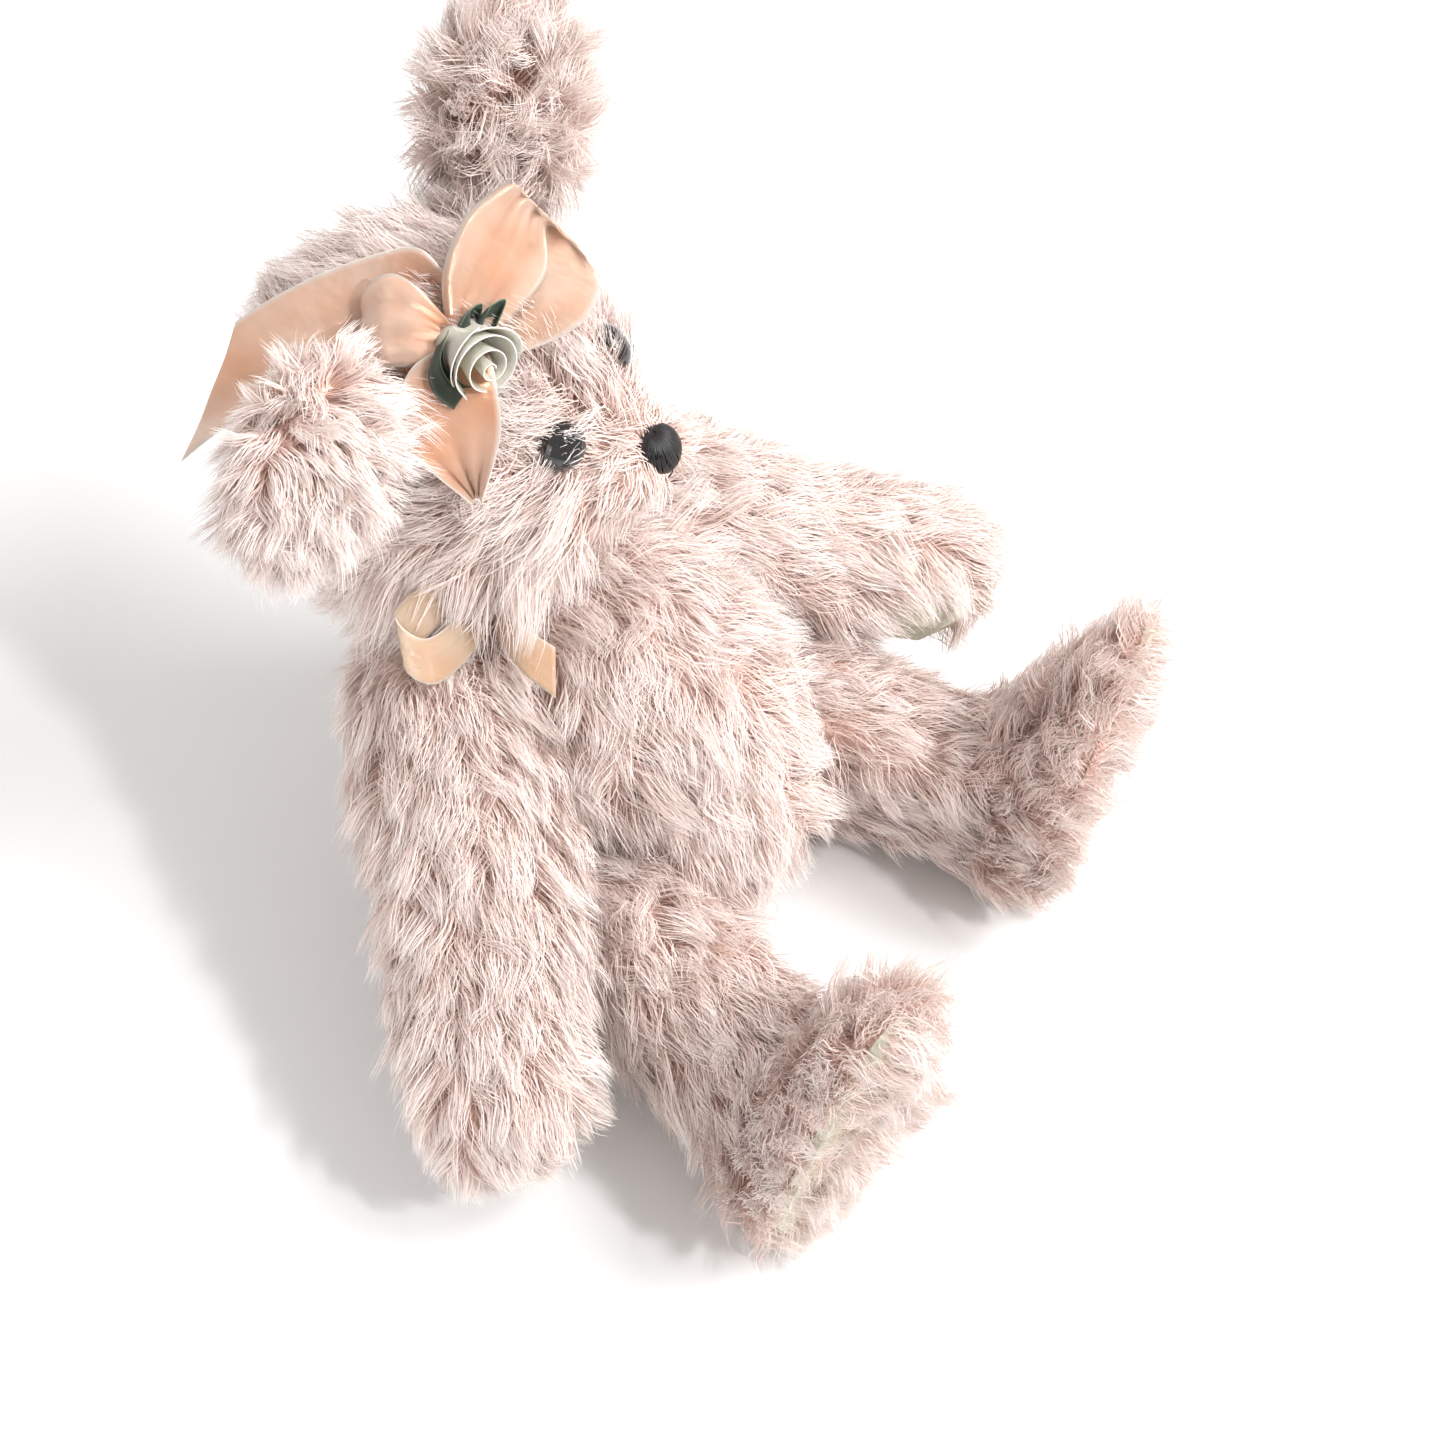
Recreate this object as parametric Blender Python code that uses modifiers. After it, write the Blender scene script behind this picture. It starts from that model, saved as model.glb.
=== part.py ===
"""A seated, five-way jointed mohair teddy bear with a satin hair bow.

Every limb and the head turn on a pair of hardboard discs held by a cotter pin. World frame: metres,
+Z up, the bear faces -Y and its left is +X. The origin is the middle of the flat seat it rests on.
Shapes are written in millimetres and scaled by MM where they become meshes.
"""

import math

import bmesh
import bpy
from mathutils import Matrix, Vector
from mathutils.bvhtree import BVHTree

MM = 0.001

# Posture, in degrees
LEAN = 45.0  # the torso leans back from upright
LEG_FORWARD = 45.0  # from the torso's downward axis, so that the legs lie level
LEG_SPLAY = 14.0
ARM_TILT = 30.0  # the shoulder axes tip up by this, so the arms hang outwards
ARM_FORWARD = {"right": 6.0, "left": 15.0}
HEAD_YAW = 12.0
HEAD_PITCH = 30.0
HEAD_ROLL = -13.0

# Skeleton, in millimetres
HIP_HEIGHT = 24.0  # above the surface that the bear sits on
SEAT_BEHIND_HIPS = 9.5
HIP_HALF_WIDTH = 22.0
SHOULDER_HALF_WIDTH = 24.0
SHOULDER_HEIGHT = 58.0
NECK_HEIGHT = 82.0
HEAD_ABOVE_NECK = (0.0, 3.0, 34.5)

# Construction, in millimetres
GAP = 0.3  # between pieces that touch
SKIN = 3.0  # a panel's backing and matted pile
CORE_DEPTH = 4.6  # the stuffing lies this far under the surface
SIDES = 16  # points around a soft section
INNER_FULLNESS = 1.5
DISC_THICKNESS = 2.0
WASHER_THICKNESS = 1.0
WASHER_RADIUS = 5.0
PIN_HOLE_RADIUS = 2.1
PIN_WIRE_RADIUS = 0.7
PIN_LEG_OFFSET = 0.85
DISC_RADIUS = {"neck": 8.8, "shoulder": 9.5, "hip": 11.5}
SEAT_RADIUS = {"shoulder": 22.0, "hip": 26.0}  # dents in the body that the limbs turn in
POCKET_DEPTH = 13.0
EYE_POSITION = (14.5, -34.0, 9.5)
EYE_DIRECTION = (0.52, -0.74, 0.42)
EAR_POSITION = (47.0, -1.0, 33.0)
BOW_POSITION = (-16.5, -17.0, 33.5)

SIDE_SIGN = {"left": 1.0, "right": -1.0}

COLOURS = {
    "mohair": ((0.86, 0.74, 0.71, 1.0), 0.9, 0.0),
    "stuffing": ((0.90, 0.88, 0.84, 1.0), 0.95, 0.0),
    "suede": ((0.80, 0.78, 0.66, 1.0), 0.9, 0.0),
    "hardboard": ((0.35, 0.22, 0.12, 1.0), 0.8, 0.0),
    "steel": ((0.62, 0.62, 0.64, 1.0), 0.35, 1.0),
    "black_glass": ((0.012, 0.011, 0.012, 1.0), 0.06, 0.0),
    "black_thread": ((0.02, 0.018, 0.02, 1.0), 0.6, 0.0),
    "satin": ((0.91, 0.60, 0.42, 1.0), 0.35, 0.0),
    "ivory_satin": ((0.90, 0.85, 0.66, 1.0), 0.35, 0.0),
    "green_ribbon": ((0.07, 0.12, 0.07, 1.0), 0.5, 0.0),
}


def turn(degrees, axis):
    return Matrix.Rotation(math.radians(degrees), 4, axis)


def shift(x, y, z):
    """A move in millimetres, as a matrix in metres."""
    return Matrix.Translation((x * MM, y * MM, z * MM))


# Frames: each carries a piece's own millimetre coordinates to the seated bear
TORSO = shift(0, -SEAT_BEHIND_HIPS, HIP_HEIGHT) @ turn(-LEAN, "X")
NECK = TORSO @ shift(0, 0, NECK_HEIGHT)
HEAD = (
    NECK
    @ turn(HEAD_YAW, "Z")
    @ turn(HEAD_PITCH, "X")
    @ turn(HEAD_ROLL, "Y")
    @ shift(*HEAD_ABOVE_NECK)
)


def arm_frame(side):
    """Origin on the shoulder axis where the arm meets the body; +X is outwards on the left arm."""
    sign = SIDE_SIGN[side]
    place = TORSO @ shift(sign * SHOULDER_HALF_WIDTH, 0, SHOULDER_HEIGHT)
    return place @ turn(-sign * ARM_TILT, "Y") @ turn(-ARM_FORWARD[side], "X")


def leg_frame(side):
    """Origin on the hip axis where the leg meets the body; -Z runs down the leg."""
    sign = SIDE_SIGN[side]
    place = TORSO @ shift(sign * HIP_HALF_WIDTH, 0, 0)
    return place @ turn(-LEG_FORWARD, "X") @ turn(-sign * LEG_SPLAY, "Y")


def axis_frame(frame, sign):
    """The same origin with +Z along the joint's axis, out of the body."""
    return frame @ turn(sign * 90.0, "Y")


def start():
    """An empty scene with a collection for the bear and one for its cutters."""
    for item in list(bpy.data.objects):
        bpy.data.objects.remove(item, do_unlink=True)
    made = []
    for name in ("teddy_bear", "cutters"):
        group = bpy.data.collections.new(name)
        bpy.context.scene.collection.children.link(group)
        made.append(group)
    return made


BEAR, CUTTERS = start()


def material(name):
    """A Principled material, shared by the pieces of one kind."""
    found = bpy.data.materials.get(name)
    if found:
        return found
    colour, roughness, metallic = COLOURS[name]
    made = bpy.data.materials.new(name)
    made.use_nodes = True
    shader = made.node_tree.nodes["Principled BSDF"]
    shader.inputs["Base Color"].default_value = colour
    shader.inputs["Roughness"].default_value = roughness
    shader.inputs["Metallic"].default_value = metallic
    made.diffuse_color = colour
    return made


def piece(name, data, finish):
    """A named sub-part of the bear."""
    made = bpy.data.objects.new(name, data)
    data.materials.append(material(finish))
    BEAR.objects.link(made)
    return made


def cutter(name, mesh):
    """A shape that only cuts others."""
    made = bpy.data.objects.new(name, mesh)
    made.hide_render = True
    made.display_type = "WIRE"
    CUTTERS.objects.link(made)
    return made


def combine(target, operation, *others):
    """Adds a Boolean modifier for each other object."""
    for other in others:
        change = target.modifiers.new(other.name, "BOOLEAN")
        change.operation = operation
        change.object = other


def cut(target, *others):
    combine(target, "DIFFERENCE", *others)


# ---------------------------------------------------------------- shapes


def loft(name, rings):
    """A closed skin through rings of points in metres. A ring of one point is a pole."""
    shape = bmesh.new()
    loops = [[shape.verts.new(point) for point in ring] for ring in rings]
    for low, high in zip(loops, loops[1:]):
        count = max(len(low), len(high))
        for i in range(count):
            corners = [
                low[i % len(low)],
                low[(i + 1) % len(low)],
                high[(i + 1) % len(high)],
                high[i % len(high)],
            ]
            shape.faces.new(list(dict.fromkeys(corners)))
    for end in (loops[0], loops[-1]):
        if len(end) > 1:
            shape.faces.new(end)
    bmesh.ops.recalc_face_normals(shape, faces=shape.faces)
    mesh = bpy.data.meshes.new(name)
    shape.to_mesh(mesh)
    shape.free()
    mesh.shade_smooth()
    return mesh


def offset(mesh, name, amount):
    """A copy of a mesh with every point moved along its normal, in millimetres."""
    made = mesh.copy()
    made.name = name
    normals = [vertex.normal.copy() for vertex in mesh.vertices]
    for vertex, normal in zip(made.vertices, normals):
        vertex.co += normal * amount * MM
    return made


def press(mesh, frame, level):
    """Flattens what lies below a level (millimetres) along the frame's Z."""
    inverse = frame.inverted()
    for vertex in mesh.vertices:
        place = inverse @ vertex.co
        place.z = max(place.z, level * MM)
        vertex.co = frame @ place
    return mesh


def turned(name, profile, frame, steps=14, closed=False):
    """A mesh object's data turned about the frame's Z from (radius, height) points, top to bottom."""
    mesh = bpy.data.meshes.new(name + "_profile")
    points = [(radius * MM, 0.0, height * MM) for radius, height in profile]
    edges = [(i, i + 1) for i in range(len(points) - 1)]
    if closed:
        edges.append((len(points) - 1, 0))
    mesh.from_pydata(points, edges, [])
    guide = bpy.data.objects.new(name + "_guide", mesh)
    CUTTERS.objects.link(guide)
    screw = guide.modifiers.new("turn", "SCREW")
    screw.steps = steps
    screw.render_steps = steps
    screw.use_merge_vertices = True
    screw.merge_threshold = 0.00001
    bpy.context.view_layer.update()
    graph = bpy.context.evaluated_depsgraph_get()
    made = bpy.data.meshes.new_from_object(guide.evaluated_get(graph))
    bpy.data.objects.remove(guide, do_unlink=True)
    made.name = name
    made.transform(frame)
    return made


def ring_profile(inner, outer, low, high):
    return [(inner, high), (outer, high), (outer, low), (inner, low)]


def cylinder(name, radius, low, high, frame, steps=14):
    """A plain cylinder along the frame's Z."""
    return turned(name, [(0, high), (radius, high), (radius, low), (0, low)], frame, steps)


def box(name, low, high, frame):
    """A box between two corners, in the frame's millimetres."""
    shape = bmesh.new()
    bmesh.ops.create_cube(shape, size=1.0)
    for vertex in shape.verts:
        corner = [low[i] + (vertex.co[i] + 0.5) * (high[i] - low[i]) for i in range(3)]
        vertex.co = frame @ (Vector(corner) * MM)
    mesh = bpy.data.meshes.new(name)
    shape.to_mesh(mesh)
    shape.free()
    return mesh


def ball(name, radii, frame, segments=16, rings=10):
    """An ellipsoid at the frame's origin."""
    shape = bmesh.new()
    bmesh.ops.create_uvsphere(shape, u_segments=segments, v_segments=rings, radius=1.0)
    for vertex in shape.verts:
        vertex.co = frame @ Vector([vertex.co[i] * radii[i] * MM for i in range(3)])
    mesh = bpy.data.meshes.new(name)
    shape.to_mesh(mesh)
    shape.free()
    mesh.shade_smooth()
    return mesh


def wire(name, points, radius):
    """A round wire through points in metres, as a curve's data with filled caps."""
    data = bpy.data.curves.new(name, "CURVE")
    data.dimensions = "3D"
    data.bevel_depth = radius * MM
    data.bevel_resolution = 0
    data.use_fill_caps = True
    spline = data.splines.new("POLY")
    spline.points.add(len(points) - 1)
    for target, point in zip(spline.points, points):
        target.co = (*point, 1.0)
    return data


def meshed(item):
    """A curve object turned into a mesh object with its caps welded."""
    bpy.context.view_layer.update()
    graph = bpy.context.evaluated_depsgraph_get()
    mesh = bpy.data.meshes.new_from_object(item.evaluated_get(graph))
    mesh.transform(item.matrix_world)
    shape = bmesh.new()
    shape.from_mesh(mesh)
    bmesh.ops.remove_doubles(shape, verts=shape.verts, dist=0.000001)
    bmesh.ops.recalc_face_normals(shape, faces=shape.faces)
    shape.to_mesh(mesh)
    shape.free()
    bpy.data.objects.remove(item, do_unlink=True)
    return mesh


def strip(name, stations):
    """A ribbon's open surface from (centre, half width vector) pairs in the head's millimetres."""
    shape = bmesh.new()
    rows = []
    for centre, half in stations:
        across = [Vector(centre) + Vector(half) * t for t in (-1.0, 0.0, 1.0)]
        rows.append([shape.verts.new(HEAD @ (point * MM)) for point in across])
    for low, high in zip(rows, rows[1:]):
        for i in range(2):
            shape.faces.new((low[i], low[i + 1], high[i + 1], high[i]))
    mesh = bpy.data.meshes.new(name)
    shape.to_mesh(mesh)
    shape.free()
    return mesh


def thicken(item):
    """Gives a ribbon's surface its thickness, half to each side."""
    solid = item.modifiers.new("thickness", "SOLIDIFY")
    solid.thickness = RIBBON_THICKNESS * MM
    solid.offset = 0.0
    return item


def oval(height, middle, half_width, front, back, frame, inner_side=0.0):
    """A section across a limb or the body: half width along X, its own depth to front and back.

    The side that inner_side points to is fuller, so that pressing it flat leaves a broad face.
    """
    points = []
    for i in range(SIDES):
        angle = 2.0 * math.pi * i / SIDES
        depth = back if math.sin(angle) > 0 else front
        fullness = INNER_FULLNESS if math.cos(angle) * inner_side > 0 else 1.0
        x = middle + half_width * fullness * math.cos(angle)
        y = depth * math.sin(angle)
        points.append(frame @ (Vector((x, y, height)) * MM))
    return points


# ---------------------------------------------------------------- body

# Height, half width, depth to the front and to the back
BODY_SECTIONS = (
    (-25, 12, 8, 15),
    (-19, 22, 19, 28),
    (-9, 29, 29, 35),
    (4, 31, 36, 37),
    (18, 32, 41, 36),
    (32, 34, 43, 33),
    (46, 33, 40, 30),
    (60, 30, 33, 26),
    (71, 23, 25, 21),
    (77, 17.5, 19, 18),
)
BODY_BOTTOM = -27.0


def body_form():
    """The pear of the body, from its bottom pole to the flat neck."""
    rings = [[TORSO @ Vector((0, 4 * MM, BODY_BOTTOM * MM))]]
    for height, half_width, front, back in BODY_SECTIONS:
        rings.append(oval(height, 0, half_width, front, back, TORSO))
    rings.append(oval(NECK_HEIGHT - GAP, 0, 16.5, 17, 16, TORSO))
    return loft("body_form", rings)


def joint_frames():
    """Each joint's frame with +Z out of the body, and the kind of joint it is."""
    frames = {"neck": (NECK, "neck")}
    for side, sign in SIDE_SIGN.items():
        frames["shoulder_" + side] = (axis_frame(arm_frame(side), sign), "shoulder")
        frames["hip_" + side] = (axis_frame(leg_frame(side), sign), "hip")
    return frames


def body_dents(depth):
    """Cutters for the dents that the limbs turn in and for the flat seat, this far under the skin."""
    made = []
    for name, (frame, kind) in JOINTS.items():
        if kind != "neck":
            reach = SEAT_RADIUS[kind] + depth
            mesh = cylinder(f"dent_{name}_{depth}", reach, -GAP - depth, 40, frame, 20)
            made.append(cutter(mesh.name, mesh))
    floor = box(f"seat_{depth}", (-80, -80, -60), (80, 90, depth), Matrix.Identity(4))
    made.append(cutter(floor.name, floor))
    return made


def body():
    """Two fur panels over a firm stuffing."""
    outer = body_form()
    holes = [
        cutter(f"hole_{name}", cylinder(f"hole_{name}", PIN_HOLE_RADIUS, -5, 2, frame, 8))
        for name, (frame, _) in JOINTS.items()
    ]
    inner = cutter("body_inside", offset(outer, "body_inside", -SKIN))
    press_top(inner.data, NECK_HEIGHT - GAP - SKIN)
    cut(inner, *body_dents(SKIN))
    surface_dents = body_dents(0.0)
    for face, near, far in (("front", -GAP / 2, 80), ("back", -80, GAP / 2)):
        panel = piece(f"body_{face}_panel", outer.copy(), "mohair")
        other_half = box(f"body_not_{face}", (-80, near, -60), (80, far, 120), TORSO)
        cut(panel, *surface_dents, inner, cutter(other_half.name, other_half), *holes)
    core = piece("body_stuffing", offset(outer, "body_core", -CORE_DEPTH), "stuffing")
    press_top(core.data, NECK_HEIGHT - CORE_DEPTH - GAP)
    pockets = [
        cutter(
            f"body_pocket_{name}",
            cylinder(f"body_pocket_{name}", DISC_RADIUS[kind] + 0.6, -POCKET_DEPTH, 2, frame),
        )
        for name, (frame, kind) in JOINTS.items()
    ]
    cut(core, *body_dents(CORE_DEPTH), *pockets)


def press_top(mesh, height):
    """Keeps the body's inner skins under the neck plane."""
    inverse = TORSO.inverted()
    for vertex in mesh.vertices:
        place = inverse @ vertex.co
        place.z = min(place.z, height * MM)
        vertex.co = TORSO @ place


# ---------------------------------------------------------------- joints


def cotter_points(frame):
    """A cotter pin's wire: a curl, one leg, the eye, the other leg and its curl."""
    curl_centre = -8.7
    curl_radius = 2.2
    eye_centre = 9.6
    eye_radius = 2.1
    start_angle = math.asin(PIN_LEG_OFFSET / eye_radius)
    half = []
    for i in range(5):  # the curl, from its end to the leg
        angle = math.radians(20.0 + 250.0 * i / 4)
        x = PIN_LEG_OFFSET + curl_radius + curl_radius * math.sin(angle)
        half.append((x, curl_centre + curl_radius * math.cos(angle)))
    half = [(x, min(z, curl_centre + 0.2)) for x, z in half]
    half[-1] = (PIN_LEG_OFFSET, curl_centre)
    for i in range(5):  # half of the eye
        angle = start_angle + (math.pi / 2 * 1.72 - start_angle) * i / 4
        half.append((eye_radius * math.sin(angle), eye_centre - eye_radius * math.cos(angle)))
    whole = half + [(0.0, eye_centre + eye_radius)] + [(-x, z) for x, z in reversed(half)]
    return [frame @ Vector((x * MM, 0, z * MM)) for x, z in whole]


def disc_joint(name, frame, kind):
    """The hardboard discs, washers and cotter pin that hold a limb or the head to the body."""
    radius = DISC_RADIUS[kind]
    near = SKIN + 2 * GAP
    far = near + DISC_THICKNESS
    washer_near = far + GAP
    washer_far = washer_near + WASHER_THICKNESS
    for part, sign in (("limb" if kind != "neck" else "head", 1), ("body", -1)):
        low, high = sorted((sign * near, sign * far))
        profile = ring_profile(PIN_HOLE_RADIUS, radius, low, high)
        data = turned(f"{name}_{part}_disc", profile, frame, closed=True)
        piece(data.name, data, "hardboard")
        low, high = sorted((sign * washer_near, sign * washer_far))
        profile = ring_profile(PIN_HOLE_RADIUS, WASHER_RADIUS, low, high)
        data = turned(f"{name}_{part}_washer", profile, frame, 10, closed=True)
        piece(data.name, data, "steel")
    piece(f"{name}_cotter_pin", wire(name, cotter_points(frame), PIN_WIRE_RADIUS), "steel")


# ---------------------------------------------------------------- limbs

# Distance down from the joint, middle and half width outwards, depth to the front and back
ARM_SECTIONS = (
    (-15.5, 9, 6, 7.5, 7.5),
    (-11, 12, 11, 13.5, 13.5),
    (-1, 14, 13.8, 17, 17),
    (14, 15.5, 15.3, 19.5, 19.5),
    (34, 17, 15.5, 19.5, 19),
    (54, 20, 15, 19, 18),
    (72, 23.5, 14.5, 19.5, 16),
    (86, 26, 14, 19.5, 13),
    (96, 27, 9.5, 13, 7),
)
LEG_SECTIONS = (
    (-20, 12, 8, 9, 9),
    (-14.5, 13.5, 12.5, 16, 16),
    (-2, 14.5, 14.5, 20, 20),
    (14, 14.8, 15, 21, 20),
    (32, 14.8, 15, 20, 18.5),
    (47, 15, 14.8, 18.5, 17.5),
    (57, 15.5, 15.8, 24, 19),
    (65, 16.5, 17.5, 45, 21.5),
    (72, 17, 18.8, 62, 23),
)
SOLE = (79, 17, 17.5, 66, 21.5)
LEG_CORE_SECTIONS = (
    (-15, 12.5, 6, 8.5, 8.5),
    (-9, 14, 9, 13, 13),
    (0, 14.5, 9.8, 15.3, 15.3),
    (14, 14.8, 10.2, 15.8, 15),
    (32, 14.8, 10.2, 15, 13.5),
    (49, 15, 10, 13.3, 12.5),
    (60, 15.7, 11, 15.3, 13.8),
    (68, 16.5, 12.3, 30, 15.8),
    (74.2, 17, 12.8, 45, 16.2),
)
PAD_THICKNESS = 2.0
PAD_INSET = 2.2
WRIST = -64.0
LIMB_SPLIT = 15.0  # where the outer and inner panels meet


def limb_form(name, sections, frame, sign, top, bottom):
    """A limb's closed form, flattened where it lies against the body."""
    rings = [[frame @ Vector((sign * sections[0][1] * MM, 0, top * MM))]]
    for down, middle, half_width, front, back in sections:
        rings.append(oval(-down, sign * middle, half_width, front, back, frame, -sign))
    if bottom is not None:
        rings.append([frame @ (Vector(bottom) * MM)])
    return press(loft(name, rings), axis_frame(frame, sign), GAP)


def limb(part, side, frame, outer, core_mesh, finish_cutters=()):
    """Outer and inner fur panels over stuffing, with a pocket for the disc."""
    sign = SIDE_SIGN[side]
    name = f"{part}_{side}"
    outwards = axis_frame(frame, sign)
    inside_mesh = press(offset(outer, f"{name}_inside", -SKIN), outwards, GAP + SKIN)
    inside = cutter(f"{name}_inside", inside_mesh)
    kind = "shoulder" if part == "arm" else "hip"
    hole = cutter(f"{name}_hole", cylinder(f"{name}_hole", PIN_HOLE_RADIUS, -2, 5, outwards, 8))
    panels = {}
    for face, low, high in (
        ("outer", -5.0, LIMB_SPLIT + GAP / 2),
        ("inner", LIMB_SPLIT - GAP / 2, 50.0),
    ):
        # Each panel loses the half that the other one covers
        mesh = box(f"{name}_not_{face}", (-130, -90, low), (130, 90, high), outwards)
        panel = piece(f"{name}_{face}_panel", outer.copy(), "mohair")
        cut(panel, cutter(mesh.name, mesh), inside, *finish_cutters)
        panels[face] = panel
    cut(panels["inner"], hole)
    core = piece(f"{name}_stuffing", press(core_mesh, outwards, CORE_DEPTH + GAP), "stuffing")
    pocket = cylinder(f"{name}_pocket", DISC_RADIUS[kind] + 0.6, -2, POCKET_DEPTH, outwards)
    cut(core, cutter(pocket.name, pocket))
    return panels, inside


def arm(side):
    """An arm with a suede pad on the inside of its paw."""
    sign = SIDE_SIGN[side]
    frame = arm_frame(side)
    tip = (sign * 27, -3, -99.5)
    outer = limb_form(f"arm_{side}_form", ARM_SECTIONS, frame, sign, 17.0, tip)
    core_mesh = offset(outer, f"arm_{side}_core", -CORE_DEPTH)
    panels, inside = limb("arm", side, frame, outer, core_mesh)
    outwards = axis_frame(frame, sign)
    # Along the outward frame the paw is at high +X on the left arm and low -X on the right
    paw = box(f"arm_{side}_paw", (-60, -60, -120), (60, 60, WRIST + GAP / 2), frame)
    rest = box(f"arm_{side}_not_paw", (-60, -60, WRIST - GAP / 2), (60, 60, 40), frame)
    outer_half = box(f"arm_{side}_outer_half", (-130, -90, LIMB_SPLIT - GAP / 2), (130, 90, 50), outwards)
    cut(panels["inner"], cutter(paw.name, paw))
    pad = piece(f"paw_pad_{side}", outer.copy(), "suede")
    cut(pad, cutter(rest.name, rest), cutter(outer_half.name, outer_half), inside)


def sole_outline(inset):
    """The oval of a foot's sole, a little inside its edge, in the leg's own X and Y."""
    _, middle, half_width, front, back = SOLE
    points = []
    for i in range(24):
        angle = 2.0 * math.pi * i / 24
        depth = (back if math.sin(angle) > 0 else front) - inset
        points.append((middle + (half_width - inset) * math.cos(angle), depth * math.sin(angle)))
    return points


def sole_plate(name, frame, sign, inset, low, high):
    """A flat plate with the sole's outline, as a mesh."""
    data = bpy.data.curves.new(name, "CURVE")
    data.dimensions = "2D"
    data.fill_mode = "BOTH"
    data.extrude = (high - low) / 2 * MM
    outline = sole_outline(inset)
    spline = data.splines.new("POLY")
    spline.points.add(len(outline) - 1)
    for target, (x, y) in zip(spline.points, outline):
        target.co = (sign * x * MM, y * MM, 0, 1)
    spline.use_cyclic_u = True
    item = bpy.data.objects.new(name, data)
    item.matrix_world = frame @ shift(0, 0, (low + high) / 2)
    CUTTERS.objects.link(item)
    return meshed(item)


def leg(side):
    """A leg with a long foot and a flat suede sole pad."""
    sign = SIDE_SIGN[side]
    frame = leg_frame(side)
    outer = limb_form(f"leg_{side}_form", LEG_SECTIONS + (SOLE,), frame, sign, 21.5, None)
    opening_mesh = sole_plate(
        f"leg_{side}_opening", frame, sign, PAD_INSET, -SOLE[0] - 2, -SOLE[0] + SKIN + 1
    )
    opening = cutter(f"leg_{side}_opening", opening_mesh)
    core_mesh = limb_form(f"leg_{side}_core", LEG_CORE_SECTIONS, frame, sign, 16.5, None)
    limb("leg", side, frame, outer, core_mesh, (opening,))
    pad_mesh = sole_plate(
        f"foot_pad_{side}", frame, sign, PAD_INSET + GAP, -SOLE[0], -SOLE[0] + PAD_THICKNESS
    )
    piece(f"foot_pad_{side}", pad_mesh, "suede")


# ---------------------------------------------------------------- head

# Distance to the back, half width, top and bottom
HEAD_SECTIONS = (
    (31, 13, 14, -21),
    (25, 23, 23, -38),
    (13, 30, 32, -53),
    (-2, 33.5, 35.5, -47),
    (-14, 31.5, 33.5, -38),
    (-24, 26, 26, -29),
    (-31, 19.5, 16, -22.5),
    (-38, 14.5, 8, -19),
    (-44, 12, 4, -17),
    (-48, 7, -0.5, -13),
)
GUSSET_HALF_WIDTH = 11.0
GUSSET_LOW = -8.0
EAR_RADII = (23.0, 14.0, 22.0)


def head_section(back, half_width, top, bottom):
    middle = (top + bottom) / 2
    half_height = (top - bottom) / 2
    points = []
    for i in range(SIDES):
        angle = 2.0 * math.pi * i / SIDES
        place = Vector((half_width * math.cos(angle), back, middle + half_height * math.sin(angle)))
        points.append(HEAD @ (place * MM))
    return points


def head_form():
    """The skull, cheeks and muzzle, pressed flat on the neck's plane."""
    rings = [[HEAD @ Vector((0, 33 * MM, 0))]]
    rings += [head_section(*section) for section in HEAD_SECTIONS]
    rings.append([HEAD @ (Vector((0, -49.5, -7)) * MM)])
    return press(loft("head_form", rings), NECK, GAP)


def eye_frame(sign):
    """+Z looks out of the eye."""
    direction = Vector((sign * EYE_DIRECTION[0], EYE_DIRECTION[1], EYE_DIRECTION[2]))
    place = shift(sign * EYE_POSITION[0], EYE_POSITION[1], EYE_POSITION[2])
    return HEAD @ place @ direction.to_track_quat("Z", "Y").to_matrix().to_4x4()


EYE_PROFILE = [(0, 2.6), (2.8, 2.1), (4.7, 0.6), (5.2, -1.2), (4.3, -3.0), (1.0, -3.8), (1.0, -9.0), (0, -9.0)]
EYE_SOCKET = [(0, 14), (5.6, 14), (5.6, -4.3), (1.4, -4.3), (1.4, -9.6), (0, -9.6)]


def head():
    """Two side panels and the centre gusset over stuffing, with glass eyes."""
    outer = head_form()
    inside = cutter("head_inside", press(offset(outer, "head_inside", -SKIN), NECK, GAP + SKIN))
    sockets = []
    for side, sign in SIDE_SIGN.items():
        frame = eye_frame(sign)
        sockets.append(cutter(f"socket_{side}", turned(f"socket_{side}", EYE_SOCKET, frame)))
        piece(f"eye_{side}", turned(f"eye_{side}", EYE_PROFILE, frame), "black_glass")
    hole = cutter("head_hole", cylinder("head_hole", PIN_HOLE_RADIUS, -2, 5, NECK, 8))
    g = GUSSET_HALF_WIDTH
    strip_mesh = box("gusset_room", (-g, -80, GUSSET_LOW), (g, 80, 80), HEAD)
    strip_room = cutter("gusset_room", strip_mesh)
    for side, sign in SIDE_SIGN.items():
        panel = piece(f"head_{side}_panel", outer.copy(), "mohair")
        near, far = sorted((sign * GAP / 2, -sign * 60))
        other = box(f"head_not_{side}", (near, -80, -80), (far, 80, 80), HEAD)
        cut(panel, inside, strip_room, cutter(other.name, other), hole, *sockets)
    gusset = piece("head_gusset", outer.copy(), "mohair")
    cut(gusset, inside, *sockets)
    inset = g - GAP
    keep = box("gusset_keep", (-inset, -80, GUSSET_LOW + GAP), (inset, 80, 80), HEAD)
    combine(gusset, "INTERSECT", cutter(keep.name, keep))
    core_mesh = press(offset(outer, "head_core", -CORE_DEPTH), NECK, CORE_DEPTH + GAP)
    core = piece("head_stuffing", core_mesh, "stuffing")
    pocket = cylinder("head_pocket", DISC_RADIUS["neck"] + 0.6, -2, POCKET_DEPTH, NECK)
    cut(core, cutter(pocket.name, pocket), *sockets)
    return outer


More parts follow.
